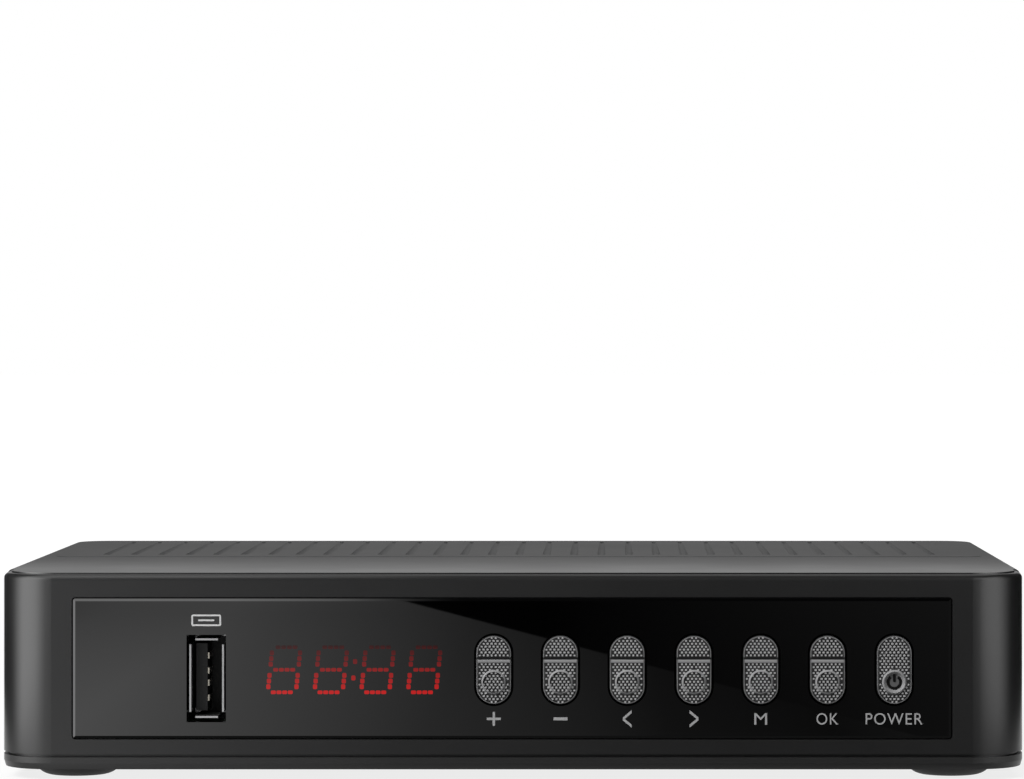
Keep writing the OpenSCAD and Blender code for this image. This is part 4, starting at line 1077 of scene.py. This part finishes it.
def makeFrontCard():
    near, far = frontCard["near"], frontCard["far"]
    centre = (0, (near + far) / 2, frontCard["height"])
    plane = addSheet("frontCard", (2 * frontCard["half"], near - far), centre)
    material, tree, strength, at = emitting("cardFade")
    nearer = mapTo(tree, at["Y"], *frontCard["lift"])
    lit = addMath(tree, "MULTIPLY", fadeAcross(tree, at["X"], frontCard["fade"]), nearer)
    (ax, ay), (bx, by) = frontCard["edgeA"], frontCard["edgeB"]
    length = math.hypot(bx - ax, by - ay)
    sideX, sideY = (by - ay) / length, -(bx - ax) / length
    awayX = addMath(tree, "MULTIPLY", at["X"], sideX)
    awayY = addMath(tree, "MULTIPLY", at["Y"], sideY)
    edge = ax * sideX + ay * sideY
    inDark = mapTo(tree, addMath(tree, "ADD", awayX, awayY), edge, edge + frontCard["edgeSoft"], 0, 1)
    part = tree.nodes.new("ShaderNodeMix")
    part.data_type = "FLOAT"
    tree.links.new(inDark, part.inputs[0])
    tree.links.new(lit, part.inputs[2])
    tree.links.new(mapTo(tree, at["X"], *frontCard["dark"]), part.inputs[3])
    tree.links.new(part.outputs[0], strength)
    onlyReflected(plane, material)


# Plain cards for what the rest of the box mirrors. Each fade is a row of places and the strengths there
cards = {
    "roomCard": {"place": (0, -1.3, 0.9), "size": (4.0, 1.8), "turn": (90, 0, 0), "along": "X",
                 "fade": [(-0.9, 0.8), (0.0, 0.3), (0.7, 0.03)]},
    "backCard": {"place": (0, 1.4, 0.6), "size": (4.0, 1.2), "turn": (90, 0, 0), "along": "X",
                 "fade": [(-0.3, 0.60), (0.0, 0.67), (0.25, 0.64)]},
    "skyCard": {"place": (0, -0.064, 0.06), "size": (0.2, 0.022), "turn": (0, 0, 0), "along": "X",
                "fade": [(-0.1, 3.2), (-0.05, 2.9), (-0.022, 1.2), (-0.008, 0.26), (0.1, 0.13)]},
    "leftGlow": {"place": (-0.14, -0.1425, 0.15), "size": (0.215, 0.3), "turn": (90, 0, 90), "along": "Y",
                 "fade": [(-0.25, 1.8), (-0.16, 4.6), (-0.12, 8.0), (-0.07, 7.2), (-0.055, 2.8),
                          (-0.042, 0.3), (-0.035, 0.0)]},
    "rightGlow": {"place": (0.14, -0.1525, 0.15), "size": (0.215, 0.3), "turn": (90, 0, 90), "along": "Y",
                  "fade": [(-0.26, 1.4), (-0.2, 3.0), (-0.14, 4.2), (-0.085, 4.0), (-0.07, 2.2),
                           (-0.055, 0.6), (-0.045, 0.0)]},
    "leftDark": {"place": (-0.14, 0.0425, 0.1), "size": (0.155, 0.2), "turn": (90, 0, 90), "along": "Y",
                 "fade": [(-0.035, 0.01), (0.12, 0.01)]},
    "rightDark": {"place": (0.14, 0.0375, 0.1), "size": (0.165, 0.2), "turn": (90, 0, 90), "along": "Y",
                  "fade": [(-0.045, 0.01), (0.12, 0.01)]},
}


def makeCard(name):
    card = cards[name]
    plane = addSheet(name, card["size"], card["place"], card["turn"])
    material, tree, strength, at = emitting(name + "Fade")
    tree.links.new(fadeAcross(tree, at[card["along"]], card["fade"]), strength)
    onlyReflected(plane, material)


lamps = {"topSoft": {"place": (0.0, 0.15, 0.85), "size": (1.1, 0.8), "power": 3.0},
         "keySoft": {"place": (-0.65, -0.7, 0.75), "size": (0.6, 0.5), "power": 11.0},
         "fillSoft": {"place": (0.75, -0.6, 0.4), "size": (0.5, 0.5), "power": 0.3}}
lampAim = (0, 0, 0.02)


def addLamp(name):
    settings = lamps[name]
    light = bpy.data.lights.new(name, "AREA")
    light.shape = "RECTANGLE"
    light.size, light.size_y = settings["size"]
    light.energy = settings["power"]
    lamp = bpy.data.objects.new(name, light)
    bpy.context.scene.collection.objects.link(lamp)
    lamp.location = settings["place"]
    towards = Vector(lampAim) - Vector(settings["place"])
    lamp.rotation_euler = towards.to_track_quat("-Z", "Y").to_euler()
    lamp.visible_glossy = False


makeFloor()
makeWorld()
makeFrontCard()
for cardName in cards:
    makeCard(cardName)
for lampName in lamps:
    addLamp(lampName)

view = {"place": (15.5 * mm, -732.9 * mm, 74.3 * mm), "lens": 144.3, "shift": (-0.0918, -0.0581),
        "sensor": 36, "clipStart": 0.01}
cameraData = bpy.data.cameras.new("photoCamera")
camera = bpy.data.objects.new("photoCamera", cameraData)
bpy.context.scene.collection.objects.link(camera)
camera.location = view["place"]
camera.rotation_euler = (math.radians(90), 0, 0)  # level, straight along the box's depth
cameraData.lens = view["lens"]
cameraData.shift_x, cameraData.shift_y = view["shift"]
cameraData.sensor_width = view["sensor"]
cameraData.clip_start = view["clipStart"]
bpy.context.scene.camera = camera
bpy.context.scene.view_settings.view_transform = "Standard"
print("studio and camera done")
